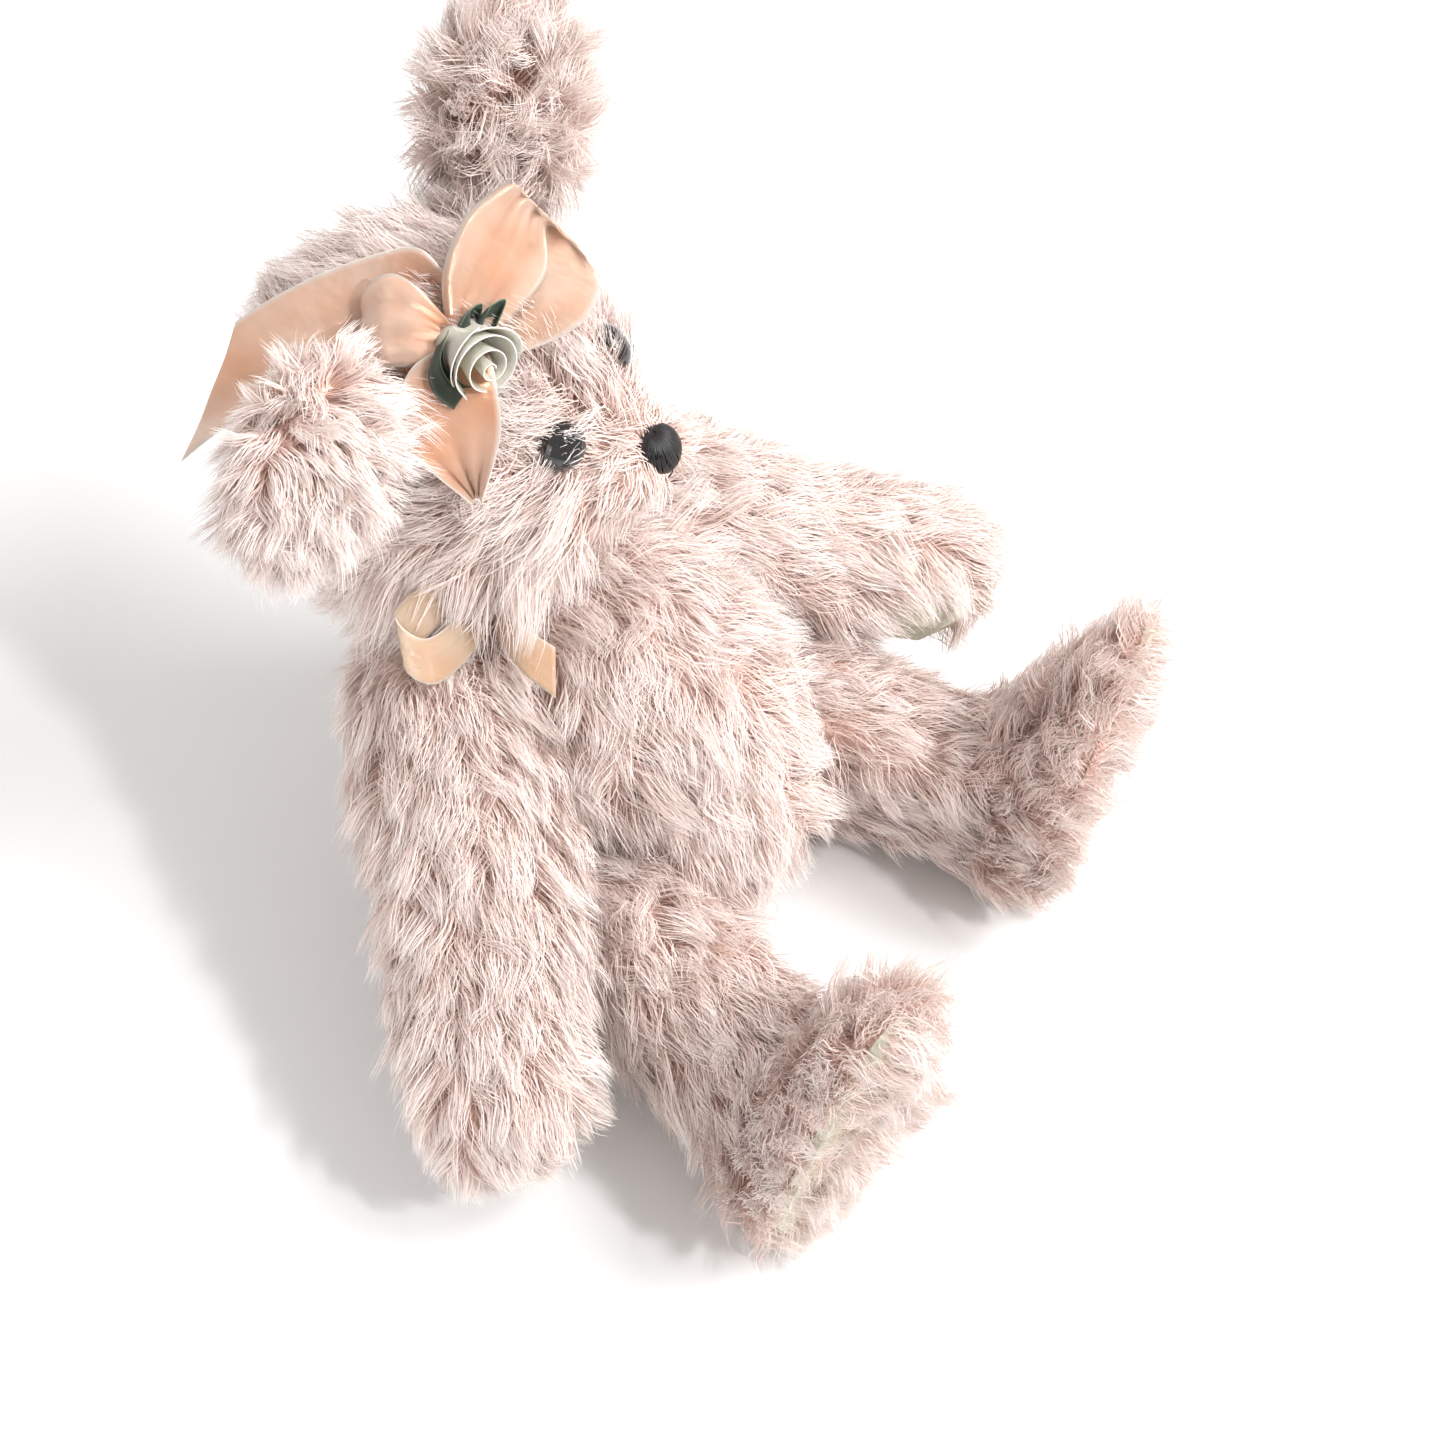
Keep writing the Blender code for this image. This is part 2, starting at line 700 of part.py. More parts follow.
def ears(outer):
    """Each ear is a front and a back panel, cut to sit on the head."""
    clear = cutter("head_clear", offset(outer, "head_clear", GAP + 0.3))
    for side, sign in SIDE_SIGN.items():
        place = shift(sign * EAR_POSITION[0], EAR_POSITION[1], EAR_POSITION[2])
        frame = HEAD @ place @ turn(-sign * 34.0, "Y").inverted() @ turn(sign * 12.0, "Z")
        for face, low, high in (("front", -GAP / 2, 60), ("back", -60, GAP / 2)):
            panel = piece(f"ear_{side}_{face}", ball("ear", EAR_RADII, frame), "mohair")
            other = box(f"ear_{side}_not_{face}", (-60, low, -60), (60, high, 60), frame)
            cut(panel, clear, cutter(other.name, other))


def on_surface(tree, point, lift):
    """The nearest place on the head to a point in its millimetres, lifted off it."""
    place, normal, _, _ = tree.find_nearest(HEAD @ (Vector(point) * MM))
    return place + normal * lift * MM


def nose(outer):
    """A stitched nose with the mouth's stitches below it, worked in one thread."""
    shape = bmesh.new()
    shape.from_mesh(outer)
    tree = BVHTree.FromBMesh(shape)
    shape.free()
    clear = cutter("nose_clear", offset(outer, "nose_clear", 2 * GAP))
    pad = ball("nose_and_mouth", (5.4, 5.2, 4.8), HEAD @ shift(0, -46.5, -3.2))
    stitched = piece("nose_and_mouth", pad, "black_thread")
    cut(stitched, clear)
    lift = 1.35
    smile = [
        on_surface(tree, (x, -47 + abs(x) * 0.55, -14.5 - 0.35 * abs(x)), lift)
        for x in (-8, -5.5, -3, 0, 3, 5.5, 8)
    ]
    middle = [on_surface(tree, (0, -52, z), lift) for z in (-5, -8, -10.5)] + [smile[3]]
    for name, points in (("philtrum", middle), ("smile", smile)):
        item = bpy.data.objects.new(name, wire(name, points, 0.7))
        CUTTERS.objects.link(item)
        combine(stitched, "UNION", cutter(name + "_stitch", meshed(item)))


# ---------------------------------------------------------------- ribbons

RIBBON_THICKNESS = 0.9
KNOT_RADII = (4.6, 4.6, 3.6)


# Ribbon paths from the knot and half widths, in the head's millimetres
BOW_LOOPS = {
    "left_loop": (
        [(0, 0, 1.5), (8, -3, 6.5), (17, -7, 9.5), (22.5, -9.5, 6), (17, -7.5, 2.6), (8, -3.5, 0.6), (0, 0, -1.5)],
        (3.5, 8.5, 1.0),
    ),
    "back_loop": (
        [(0, 0, 1.5), (0, 7, 7), (0, 14, 9.5), (0, 19.5, 6.3), (0, 14, 3.2), (0, 7, 1.2), (0, 0, -1.5)],
        (8.0, 0.0, 1.0),
    ),
}
FRONT_TAIL = ([(0, 0, 0.5), (-6, -4, -1), (-12, -7, -6.5), (-17, -9, -13)], (3.6, -5.6, 1.2))
STREAMER = ([(14, 7, 7), (12, 17, 8), (4, 27, 9), (-7, 36, 6), (-16, 44, 1)], (8, -2.5, 7.5))


def gathered(path, half, spread):
    """Stations along a ribbon that is narrow at the knot and opens out by the spread."""
    x, y, z = BOW_POSITION
    return [
        ((x + dx, y + dy, z + dz), [h * s for h in half])
        for (dx, dy, dz), s in zip(path, spread)
    ]


def hair_bow():
    """A tied bow: knot, two loops and a short front tail, with a long streamer behind."""
    knot = HEAD @ shift(*BOW_POSITION)
    bow = piece("hair_bow", ball("hair_bow", KNOT_RADII, knot, 12, 8), "satin")
    for name, (path, half) in BOW_LOOPS.items():
        last = len(path) - 1
        spread = [0.35 + 0.65 * math.sin(math.pi * i / last) for i in range(last + 1)]
        stations = gathered(path, half, spread)
        combine(bow, "UNION", thicken(cutter(name, strip(name, stations))))
    path, half = FRONT_TAIL
    stations = gathered(path, half, (0.4, 0.7, 0.95, 0.8))
    combine(bow, "UNION", thicken(cutter("front_tail", strip("front_tail", stations))))
    path, half = STREAMER
    stations = gathered(path, half, (0.45, 0.75, 1.0, 1.0, 1.0))
    streamer = thicken(piece("hair_ribbon_streamer", strip("hair_ribbon_streamer", stations), "satin"))
    grown = [radius + 0.4 for radius in KNOT_RADII]
    cut(streamer, cutter("knot_room", ball("knot_room", grown, knot, 12, 8)))
    cut(bow, *rosebud_room())


def rosebud_frame():
    x, y, z = BOW_POSITION
    return HEAD @ shift(x + 2.5, y - 9.5, z + 3.0) @ turn(50, "X") @ turn(-15, "Y")


def leaf_frame():
    x, y, z = BOW_POSITION
    return HEAD @ shift(x + 9.5, y - 4.5, z + 9.5) @ turn(35, "Z")


BUD_PROFILE = [(0, 6.2), (2.2, 5.8), (4.6, 3.4), (6.0, -0.5), (5.2, -4.2), (2.6, -6.2), (0, -6.4)]
LEAF_RADII = (5.2, 2.6, 2.4)


def rosebud_room():
    """Cutters a little larger than the rosebud and its leaves."""
    profile = [(radius * 1.08, height * 1.08) for radius, height in BUD_PROFILE]
    bud = cutter("bud_room", turned("bud_room", profile, rosebud_frame(), 14))
    radii = [radius + 0.4 for radius in LEAF_RADII]
    return bud, cutter("leaf_room", ball("leaf_room", radii, leaf_frame(), 12, 8))


def rosebud():
    """A folded ribbon rosebud beside the knot, with green ribbon leaves."""
    piece("rosebud", turned("rosebud", BUD_PROFILE, rosebud_frame(), 14), "ivory_satin")
    leaves = ball("rosebud_leaves", LEAF_RADII, leaf_frame(), 12, 8)
    piece("rosebud_leaves", leaves, "green_ribbon")


RIBBON_BAND = (77.6, 81.2)  # its lower and upper edge, up the body


def neck_ribbon():
    """A narrow satin ribbon round the top of the body."""
    outer = body_form()
    band = piece("neck_ribbon", offset(outer, "neck_ribbon", GAP + RIBBON_THICKNESS), "satin")
    cut(band, cutter("neck_clear", offset(outer, "neck_clear", GAP)))
    low, high = RIBBON_BAND
    keep = box("ribbon_band", (-60, -60, low), (60, 60, high), TORSO)
    combine(band, "INTERSECT", cutter(keep.name, keep))


JOINTS = joint_frames()


def main():
    body()
    for name, (frame, kind) in JOINTS.items():
        disc_joint(name, frame, kind)
    for side in SIDE_SIGN:
        arm(side)
        leg(side)
    outer = head()
    ears(outer)
    nose(outer)
    hair_bow()
    rosebud()
    neck_ribbon()


main()
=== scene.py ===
"""The visual model of a jointed mohair teddy bear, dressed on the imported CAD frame.

Shapes are written in millimetres in each section's own frame, as in the CAD source, and
reach the row frame in metres. The bear faces -Y and its left is +X.
"""

import math

import bpy
import numpy as np
from mathutils import Matrix, Vector, kdtree


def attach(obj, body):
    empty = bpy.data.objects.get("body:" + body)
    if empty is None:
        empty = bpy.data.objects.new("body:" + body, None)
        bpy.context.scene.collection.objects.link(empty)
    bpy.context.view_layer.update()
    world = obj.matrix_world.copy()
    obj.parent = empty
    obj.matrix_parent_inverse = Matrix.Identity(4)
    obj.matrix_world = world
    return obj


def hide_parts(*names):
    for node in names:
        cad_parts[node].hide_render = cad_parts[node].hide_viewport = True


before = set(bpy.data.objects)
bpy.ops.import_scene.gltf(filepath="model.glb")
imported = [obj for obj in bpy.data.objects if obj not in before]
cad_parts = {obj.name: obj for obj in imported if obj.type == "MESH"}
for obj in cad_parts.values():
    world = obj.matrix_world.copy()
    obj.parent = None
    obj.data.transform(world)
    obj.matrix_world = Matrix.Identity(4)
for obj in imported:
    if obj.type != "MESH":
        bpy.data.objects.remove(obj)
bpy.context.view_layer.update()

MM = 0.001
SEED = 20619
STRAND_SHARE = 1.0
STRAND_WIDTH = 0.25
STRAND_STEPS = 5
LOCK_SPREAD = 0.12  # the share of its width that a fully gathered lock keeps
RIBBON_THICKNESS = 0.22

# Posture and skeleton, as in the CAD source
LEAN = 45.0
LEG_FORWARD = 45.0
LEG_SPLAY = 14.0
ARM_TILT = 30.0
ARM_FORWARD = {"right": 6.0, "left": 15.0}
HEAD_TURN = (12.0, 30.0, -13.0)
HIP_HEIGHT = 24.0
SEAT_BEHIND_HIPS = 9.5
HIP_HALF_WIDTH = 22.0
SHOULDER_HALF_WIDTH = 24.0
SHOULDER_HEIGHT = 58.0
NECK_HEIGHT = 82.0
HEAD_ABOVE_NECK = (0.0, 3.0, 34.5)
SIDE_SIGN = {"left": 1.0, "right": -1.0}
INSET = 3.6  # the woven backing lies this far under the pile's mean surface
JOINT_FADE = 8.0  # and rises to the surface within this distance of a joint's face
INNER_FULLNESS = 1.5
EYE_POSITION = (14.5, -34.0, 9.5)
EYE_DIRECTION = (0.52, -0.74, 0.42)
EAR_POSITION = (47.0, -1.0, 33.0)
BOW_POSITION = (-16.5, -17.0, 33.5)

# Camera: place in metres, direction and roll in degrees
CAMERA_PLACE = (-0.30086, -0.10604, 0.48219)
CAMERA_AZIMUTH = -73.06
CAMERA_ELEVATION = 53.25
CAMERA_ROLL = 16.63
CAMERA_LENS = 62.3


def turn(degrees, axis):
    return Matrix.Rotation(math.radians(degrees), 4, axis)


def shift(x, y, z):
    """A move in millimetres, as a matrix in metres."""
    return Matrix.Translation((x * MM, y * MM, z * MM))


TORSO = shift(0, -SEAT_BEHIND_HIPS, HIP_HEIGHT) @ turn(-LEAN, "X")
NECK = TORSO @ shift(0, 0, NECK_HEIGHT)
HEAD = (
    NECK
    @ turn(HEAD_TURN[0], "Z")
    @ turn(HEAD_TURN[1], "X")
    @ turn(HEAD_TURN[2], "Y")
    @ shift(*HEAD_ABOVE_NECK)
)


def arm_frame(side):
    sign = SIDE_SIGN[side]
    place = TORSO @ shift(sign * SHOULDER_HALF_WIDTH, 0, SHOULDER_HEIGHT)
    return place @ turn(-sign * ARM_TILT, "Y") @ turn(-ARM_FORWARD[side], "X")


def leg_frame(side):
    sign = SIDE_SIGN[side]
    place = TORSO @ shift(sign * HIP_HALF_WIDTH, 0, 0)
    return place @ turn(-LEG_FORWARD, "X") @ turn(-sign * LEG_SPLAY, "Y")


def to_row(matrix, points):
    """Points in a section's millimetres, in the row frame's millimetres."""
    m = np.array(matrix)
    return points @ m[:3, :3].T + m[:3, 3] / MM


def to_local(matrix, points):
    m = np.array(matrix)
    return (points - m[:3, 3] / MM) @ m[:3, :3]


def rotate(matrix, directions):
    return directions @ np.array(matrix)[:3, :3].T


def unit(v):
    return v / np.maximum(np.linalg.norm(v, axis=-1, keepdims=True), 1e-9)


# ---------------------------------------------------------------- materials


def nodes_of(name):
    """A new material, its node tree and its Principled shader."""
    made = bpy.data.materials.new(name)
    made.use_nodes = True
    tree = made.node_tree
    return made, tree, tree.nodes["Principled BSDF"]


def ramp(tree, source, stops):
    """A colour ramp driven by a node's output."""
    node = tree.nodes.new("ShaderNodeValToRGB")
    while len(node.color_ramp.elements) < len(stops):
        node.color_ramp.elements.new(0.5)
    for element, (place, colour) in zip(node.color_ramp.elements, stops):
        element.position = place
        element.color = (*colour, 1.0)
    tree.links.new(source, node.inputs["Fac"])
    return node.outputs["Color"]


def mixed(tree, mode, amount, a, b):
    """Two colours mixed; the amount is a number or an output."""
    node = tree.nodes.new("ShaderNodeMix")
    node.data_type = "RGBA"
    node.blend_type = mode
    if isinstance(amount, (int, float)):
        node.inputs["Factor"].default_value = amount
    else:
        tree.links.new(amount, node.inputs["Factor"])
    tree.links.new(a, node.inputs["A"])
    tree.links.new(b, node.inputs["B"])
    return node.outputs["Result"]


def noise(tree, scale, detail=3.0, stretch=None):
    """Noise over the object's own coordinates."""
    place = tree.nodes.new("ShaderNodeTexCoord").outputs["Object"]
    if stretch:
        mapping = tree.nodes.new("ShaderNodeMapping")
        mapping.inputs["Scale"].default_value = stretch
        tree.links.new(place, mapping.inputs["Vector"])
        place = mapping.outputs["Vector"]
    node = tree.nodes.new("ShaderNodeTexNoise")
    node.inputs["Scale"].default_value = scale
    node.inputs["Detail"].default_value = detail
    tree.links.new(place, node.inputs["Vector"])
    return node.outputs["Fac"]


def bump(tree, shader, source, strength, distance):
    node = tree.nodes.new("ShaderNodeBump")
    node.inputs["Strength"].default_value = strength
    node.inputs["Distance"].default_value = distance
    tree.links.new(source, node.inputs["Height"])
    tree.links.new(node.outputs["Normal"], shader.inputs["Normal"])


def strand_parts(tree):
    """The tone of a strand and the place along it, from its UVs."""
    uv = tree.nodes.new("ShaderNodeUVMap")
    uv.uv_map = "OFBake"
    parts = tree.nodes.new("ShaderNodeSeparateXYZ")
    tree.links.new(uv.outputs["UV"], parts.inputs["Vector"])
    return parts.outputs["X"], parts.outputs["Y"]


def mohair(name, root, middle, tip):
    """Strands: pinker and darker at the root, partly the pile's own pink and partly painted shade down among
    the strands; pale at the tip, each with its own tone.
    """
    made, tree, shader = nodes_of(name)
    tone, along = strand_parts(tree)
    # the darker root tone is partly the mohair's own pink and partly painted shade between the strands
    base = ramp(tree, along, [(0.0, root), (0.45, middle), (1.0, tip)])
    tones = ramp(tree, tone, [(0.0, (0.90, 0.84, 0.81)), (0.5, (0.98, 0.955, 0.94)), (1.0, (1, 1, 1))])
    tree.links.new(mixed(tree, "MULTIPLY", 1.0, base, tones), shader.inputs["Base Color"])
    shader.inputs["Roughness"].default_value = 0.48
    shader.inputs["Specular IOR Level"].default_value = 0.35
    shader.inputs["Sheen Weight"].default_value = 0.25
    shader.inputs["Sheen Roughness"].default_value = 0.4
    return made


def cloth(name, low, high, roughness=0.9, scale=900.0, depth=0.3):
    """A woven or felted surface between two tones."""
    made, tree, shader = nodes_of(name)
    fine = noise(tree, scale, 4.0)
    tree.links.new(ramp(tree, fine, [(0.35, low), (0.65, high)]), shader.inputs["Base Color"])
    shader.inputs["Roughness"].default_value = roughness
    bump(tree, shader, fine, 0.6, depth * MM)
    return made


def satin(name, low, middle, high, edge, metal=0.0):
    """Double-faced satin with fine threads along it and a paler woven edge; its tones from low to high,
    spread by noise, are painted shade and painted sheen over the ribbon's own colour.
    """
    made, tree, shader = nodes_of(name)
    across, along = strand_parts(tree)
    # painted shade and painted sheen: noise moves the colour between the darker and paler tones
    wave = noise(tree, 60.0, 2.0)
    body = ramp(tree, wave, [(0.25, low), (0.5, middle), (0.78, high)])
    rim = ramp(tree, across, [(0.0, (1, 1, 1)), (0.055, (0, 0, 0)), (0.945, (0, 0, 0)), (1.0, (1, 1, 1))])
    pale = tree.nodes.new("ShaderNodeRGB")
    pale.outputs[0].default_value = (*edge, 1.0)
    tree.links.new(mixed(tree, "MIX", rim, body, pale.outputs[0]), shader.inputs["Base Color"])
    threads = tree.nodes.new("ShaderNodeTexWave")
    threads.inputs["Scale"].default_value = 38.0
    threads.inputs["Distortion"].default_value = 0.6
    uv = tree.nodes.new("ShaderNodeUVMap")
    uv.uv_map = "OFBake"
    tree.links.new(uv.outputs["UV"], threads.inputs["Vector"])
    crease = noise(tree, 260.0, 2.0, (1.0, 0.35, 1.0))
    both = tree.nodes.new("ShaderNodeMath")
    both.operation = "MULTIPLY_ADD"
    both.inputs[1].default_value = 0.12
    tree.links.new(threads.outputs["Fac"], both.inputs[0])
    tree.links.new(crease, both.inputs[2])
    bump(tree, shader, both.outputs["Value"], 0.7, 1.1 * MM)
    shader.inputs["Roughness"].default_value = 0.22
    shader.inputs["Specular IOR Level"].default_value = 0.6
    shader.inputs["Anisotropic"].default_value = 0.6
    shader.inputs["Metallic"].default_value = metal
    shader.inputs["Sheen Weight"].default_value = 0.2
    return made


def glossy(name, low, high, roughness, coat):
    made, tree, shader = nodes_of(name)
    tone = ramp(tree, noise(tree, 400.0), [(0.3, low), (0.7, high)])
    tree.links.new(tone, shader.inputs["Base Color"])
    shader.inputs["Roughness"].default_value = roughness
    shader.inputs["Coat Weight"].default_value = coat
    shader.inputs["Coat Roughness"].default_value = 0.04
    return made


def steel(name):
    made, tree, shader = nodes_of(name)
    grain = noise(tree, 700.0, 2.0, (1.0, 1.0, 9.0))
    tone = ramp(tree, grain, [(0.3, (0.42, 0.42, 0.44)), (0.7, (0.62, 0.62, 0.64))])
    tree.links.new(tone, shader.inputs["Base Color"])
    shader.inputs["Metallic"].default_value = 1.0
    shader.inputs["Roughness"].default_value = 0.35
    return made


# root colour: the pile's own pink, partly painted shade among the strands
FUR = mohair("mohair_pile", (0.90, 0.64, 0.56), (0.95, 0.81, 0.76), (0.985, 0.93, 0.91))
BACKING = cloth("woven_backing", (0.84, 0.62, 0.54), (0.92, 0.73, 0.65), 0.95, 500.0)
SUEDE = cloth("suede", (0.60, 0.60, 0.47), (0.76, 0.75, 0.62), 0.95, 700.0)
STUFFING = cloth("filling", (0.82, 0.80, 0.76), (0.93, 0.91, 0.87), 1.0, 300.0, 0.8)
HARDBOARD = cloth("hardboard", (0.26, 0.16, 0.08), (0.40, 0.26, 0.14), 0.8, 600.0)
STEEL = steel("plain_steel")
GLASS = glossy("black_glass", (0.006, 0.005, 0.006), (0.014, 0.012, 0.013), 0.05, 1.0)
THREAD = glossy("black_thread", (0.008, 0.007, 0.008), (0.03, 0.027, 0.028), 0.45, 0.0)
# Each satin's low and high tones are painted shade and painted sheen about its own colour.
SATIN = satin(
    "peach_satin",
    (0.86, 0.44, 0.26),
    (0.94, 0.62, 0.46),
    (0.98, 0.80, 0.68),
    (0.98, 0.87, 0.78),
    0.3,
)
IVORY = satin("ivory_satin", (0.94, 0.88, 0.70), (0.97, 0.93, 0.82), (0.99, 0.97, 0.91), (0.99, 0.97, 0.91))
GREEN = satin(
    "green_satin",
    (0.020, 0.040, 0.024),
    (0.045, 0.080, 0.045),
    (0.10, 0.16, 0.09),
    (0.10, 0.16, 0.10),
)
SHEER = satin("sheer_peach", (0.86, 0.48, 0.28), (0.95, 0.66, 0.45), (0.97, 0.78, 0.60), (0.99, 0.86, 0.72))


# ---------------------------------------------------------------- meshes


def mesh_object(name, points, faces, finish, smooth=True):
    """An object from row-frame millimetres, given one material."""
    mesh = bpy.data.meshes.new(name)
    mesh.from_pydata((np.asarray(points) * MM).tolist(), [], faces)
    mesh.materials.append(finish)
    if smooth:
        mesh.shade_smooth()
    made = bpy.data.objects.new(name, mesh)
    bpy.context.scene.collection.objects.link(made)
    return made


def smooth_rows(rows, steps):
    """Rows of numbers with more rows between them, along a Catmull-Rom spline."""
    rows = np.array(rows, float)
    padded = np.vstack([2 * rows[0] - rows[1], rows, 2 * rows[-1] - rows[-2]])
    out = []
    for i in range(len(rows) - 1):
        a, b, c, d = padded[i : i + 4]
        for t in np.linspace(0.0, 1.0, steps, endpoint=False):
            bend = (2 * a - 5 * b + 4 * c - d) * t**2 + (-a + 3 * b - 3 * c + d) * t**3
            out.append(0.5 * (2 * b + (c - a) * t + bend))
    out.append(rows[-1])
    return np.array(out)


def tube_faces(rows, columns):
    """Quads round a stack of closed rings, with an end face on each side."""
    faces = []
    for r in range(rows - 1):
        for c in range(columns):
            n = (c + 1) % columns
            faces.append((r * columns + c, r * columns + n, (r + 1) * columns + n, (r + 1) * columns + c))
    faces.append(tuple(range(columns))[::-1])
    faces.append(tuple((rows - 1) * columns + c for c in range(columns)))
    return faces


def outward(points, faces):
    """The faces, turned over if they enclose a negative volume."""
    total = 0.0
    for face in faces:
        a = points[face[0]]
        for i in range(1, len(face) - 1):
            total += float(np.dot(a, np.cross(points[face[i]], points[face[i + 1]])))
    return faces if total > 0 else [face[::-1] for face in faces]


def skin(name, matrix, local, columns, fade, body, replaced):
    """A backing mesh from rings in local millimetres, inset from the pile's surface.

    fade gives each point's distance from the section's joint faces, where the inset vanishes.
    """
    row = to_row(matrix, local)
    faces = outward(row, tube_faces(len(local) // columns, columns))
    made = mesh_object(name, row, faces, BACKING)
    normals = np.zeros(len(local) * 3, np.float32)
    made.data.vertices.foreach_get("normal", normals)
    normals = normals.reshape(-1, 3)
    share = np.clip(fade(local) / JOINT_FADE, 0.1, 1.0)
    row = row - normals * (INSET * share)[:, None]
    made.data.vertices.foreach_set("co", (row * MM).astype(np.float32).ravel())
    made.data.update()
    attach(made, body)
    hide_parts(*replaced)
    return {"object": made, "matrix": matrix}


# ---------------------------------------------------------------- pile


def roots_on(item, count, rng):
    """Evenly scattered places on a mesh with their normals, in row-frame millimetres."""
    mesh = item.data
    mesh.calc_loop_triangles()
    points = np.zeros(len(mesh.vertices) * 3, np.float32)
    normals = np.zeros(len(mesh.vertices) * 3, np.float32)
    corners = np.zeros(len(mesh.loop_triangles) * 3, np.int32)
    mesh.vertices.foreach_get("co", points)
    mesh.vertices.foreach_get("normal", normals)
    mesh.loop_triangles.foreach_get("vertices", corners)
    points = points.reshape(-1, 3) / MM
    normals = normals.reshape(-1, 3)
    a, b, c = corners.reshape(-1, 3).T
    size = np.linalg.norm(np.cross(points[b] - points[a], points[c] - points[a]), axis=1)
    pick = rng.choice(len(a), count, p=size / size.sum())
    u, v = rng.random((2, count, 1))
    u, v = np.where(u + v > 1, 1 - u, u), np.where(u + v > 1, 1 - v, v)
    a, b, c = a[pick], b[pick], c[pick]
    place = points[a] + u * (points[b] - points[a]) + v * (points[c] - points[a])
    return place, unit((1 - u - v) * normals[a] + u * normals[b] + v * normals[c])


def nearest(centres, places):
    tree = kdtree.KDTree(len(centres))
    for i, place in enumerate(centres):
        tree.insert(place, i)
    tree.balance()
    return np.array([tree.find(place)[1] for place in places], int)


def paths(root, normal, comb, length, style, phase, steps):
    """Each strand's points, from its root, as an array of strands by points by 3."""
    side = unit(np.cross(normal, comb))
    gravity = np.broadcast_to(np.array([0.0, 0.0, -1.0]), normal.shape)
    into = np.minimum((gravity * normal).sum(1, keepdims=True), 0.0)
    gravity = gravity - normal * into
    points = [np.zeros_like(root)]
    for k in range(steps):
        t = (k + 0.5) / steps
        wave = 2 * math.pi * style["waves"] * t
        along = comb * (0.55 + 0.6 * t)
        rise = normal * (style["lift"] * (1 - t) ** 1.3 + style["rise"])[:, None]
        curl = side * np.sin(wave + phase)[:, None] + normal * 0.5 * np.cos(wave + phase)[:, None]
        step = along + rise + gravity * (style["droop"] * t)[:, None]
        step = unit(step + curl * style["curl"][:, None])
        points.append(points[-1] + step * (length / steps)[:, None])
    return np.stack(points, axis=1)


def pile(name, base, count, style_of, body, finish=None, seed=0, steps=STRAND_STEPS):
    """Free strands of mohair gathered in locks, as one mesh of thin ribbons."""
    rng = np.random.default_rng(SEED + seed)
    root, normal = roots_on(base["object"], int(count * STRAND_SHARE), rng)
    local = to_local(base["matrix"], root)
    local_normal = normal @ np.array(base["matrix"])[:3, :3]
    style = style_of(local, local_normal, rng)
    keep = style["keep"]
    root, normal, local = root[keep], normal[keep], local[keep]
    style = {k: (v[keep] if isinstance(v, np.ndarray) else v) for k, v in style.items()}
    total = len(root)
    comb = rotate(base["matrix"], style["comb"])
    comb = unit(comb - normal * (comb * normal).sum(1, keepdims=True))
    locks = max(8, int(total * style["locks_per_strand"] / STRAND_SHARE))
    centre = rng.choice(total, locks, replace=False)
    lock = nearest(root[centre], root)
    swirl = rng.normal(size=(locks, 3)) * style["stray"]
    lock_comb = unit(comb[centre] + swirl)
    lock_style = {k: (v[centre] if isinstance(v, np.ndarray) else v) for k, v in style.items()}
    lock_style["lift"] = lock_style["lift"] * rng.uniform(0.55, 1.35, locks)
    lock_phase = rng.uniform(0, 2 * math.pi, locks)
    lock_length = style["length"][centre] * rng.uniform(0.82, 1.15, locks)
    guide = paths(root[centre], normal[centre], lock_comb, lock_length, lock_style, lock_phase, steps)
    own_comb = unit(lock_comb[lock] + rng.normal(size=(total, 3)) * 0.16)
    own_style = {k: (v * 1.0 if isinstance(v, np.ndarray) else v) for k, v in style.items()}
    own_style["lift"] = lock_style["lift"][lock] * rng.uniform(0.75, 1.3, total)
    own_length = lock_length[lock] * rng.uniform(0.72, 1.08, total)
    phase = lock_phase[lock] + rng.normal(size=total) * 0.5
    own = paths(root, normal, own_comb, own_length, own_style, phase, steps)
    offset = root - root[centre][lock]
    t = np.linspace(0.0, 1.0, steps + 1)
    pull = (style["gather"] * rng.uniform(0.35, 1.0, total))[:, None] * t[None, :] ** 1.4
    toward = guide[lock] - offset[:, None, :] * (1 - LOCK_SPREAD)
    points = root[:, None, :] + own * (1 - pull[..., None]) + toward * pull[..., None]
    floor = 0.35 + 0.5 * rng.random(total)
    points[..., 2] = np.maximum(points[..., 2], floor[:, None])
    tangent = unit(np.gradient(points, axis=1))
    facing = unit(normal[:, None, :] + rng.normal(size=(total, 1, 3)) * 0.45)
    side = unit(np.cross(tangent, facing))
    width = STRAND_WIDTH * style["width"] * rng.uniform(0.7, 1.25, total)
    taper = 0.5 * (1.0 - 0.88 * t**2.2)
    reach = side * (width[:, None] * taper[None, :])[..., None]
    rails = np.stack([points - reach, points + reach], axis=2)
    tone = np.clip(0.5 + 0.22 * rng.normal(size=locks)[lock] + 0.2 * rng.normal(size=total), 0.02, 0.98)
    made = strand_mesh(name, rails, tone, t, finish or FUR)
    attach(made, body)
    return made


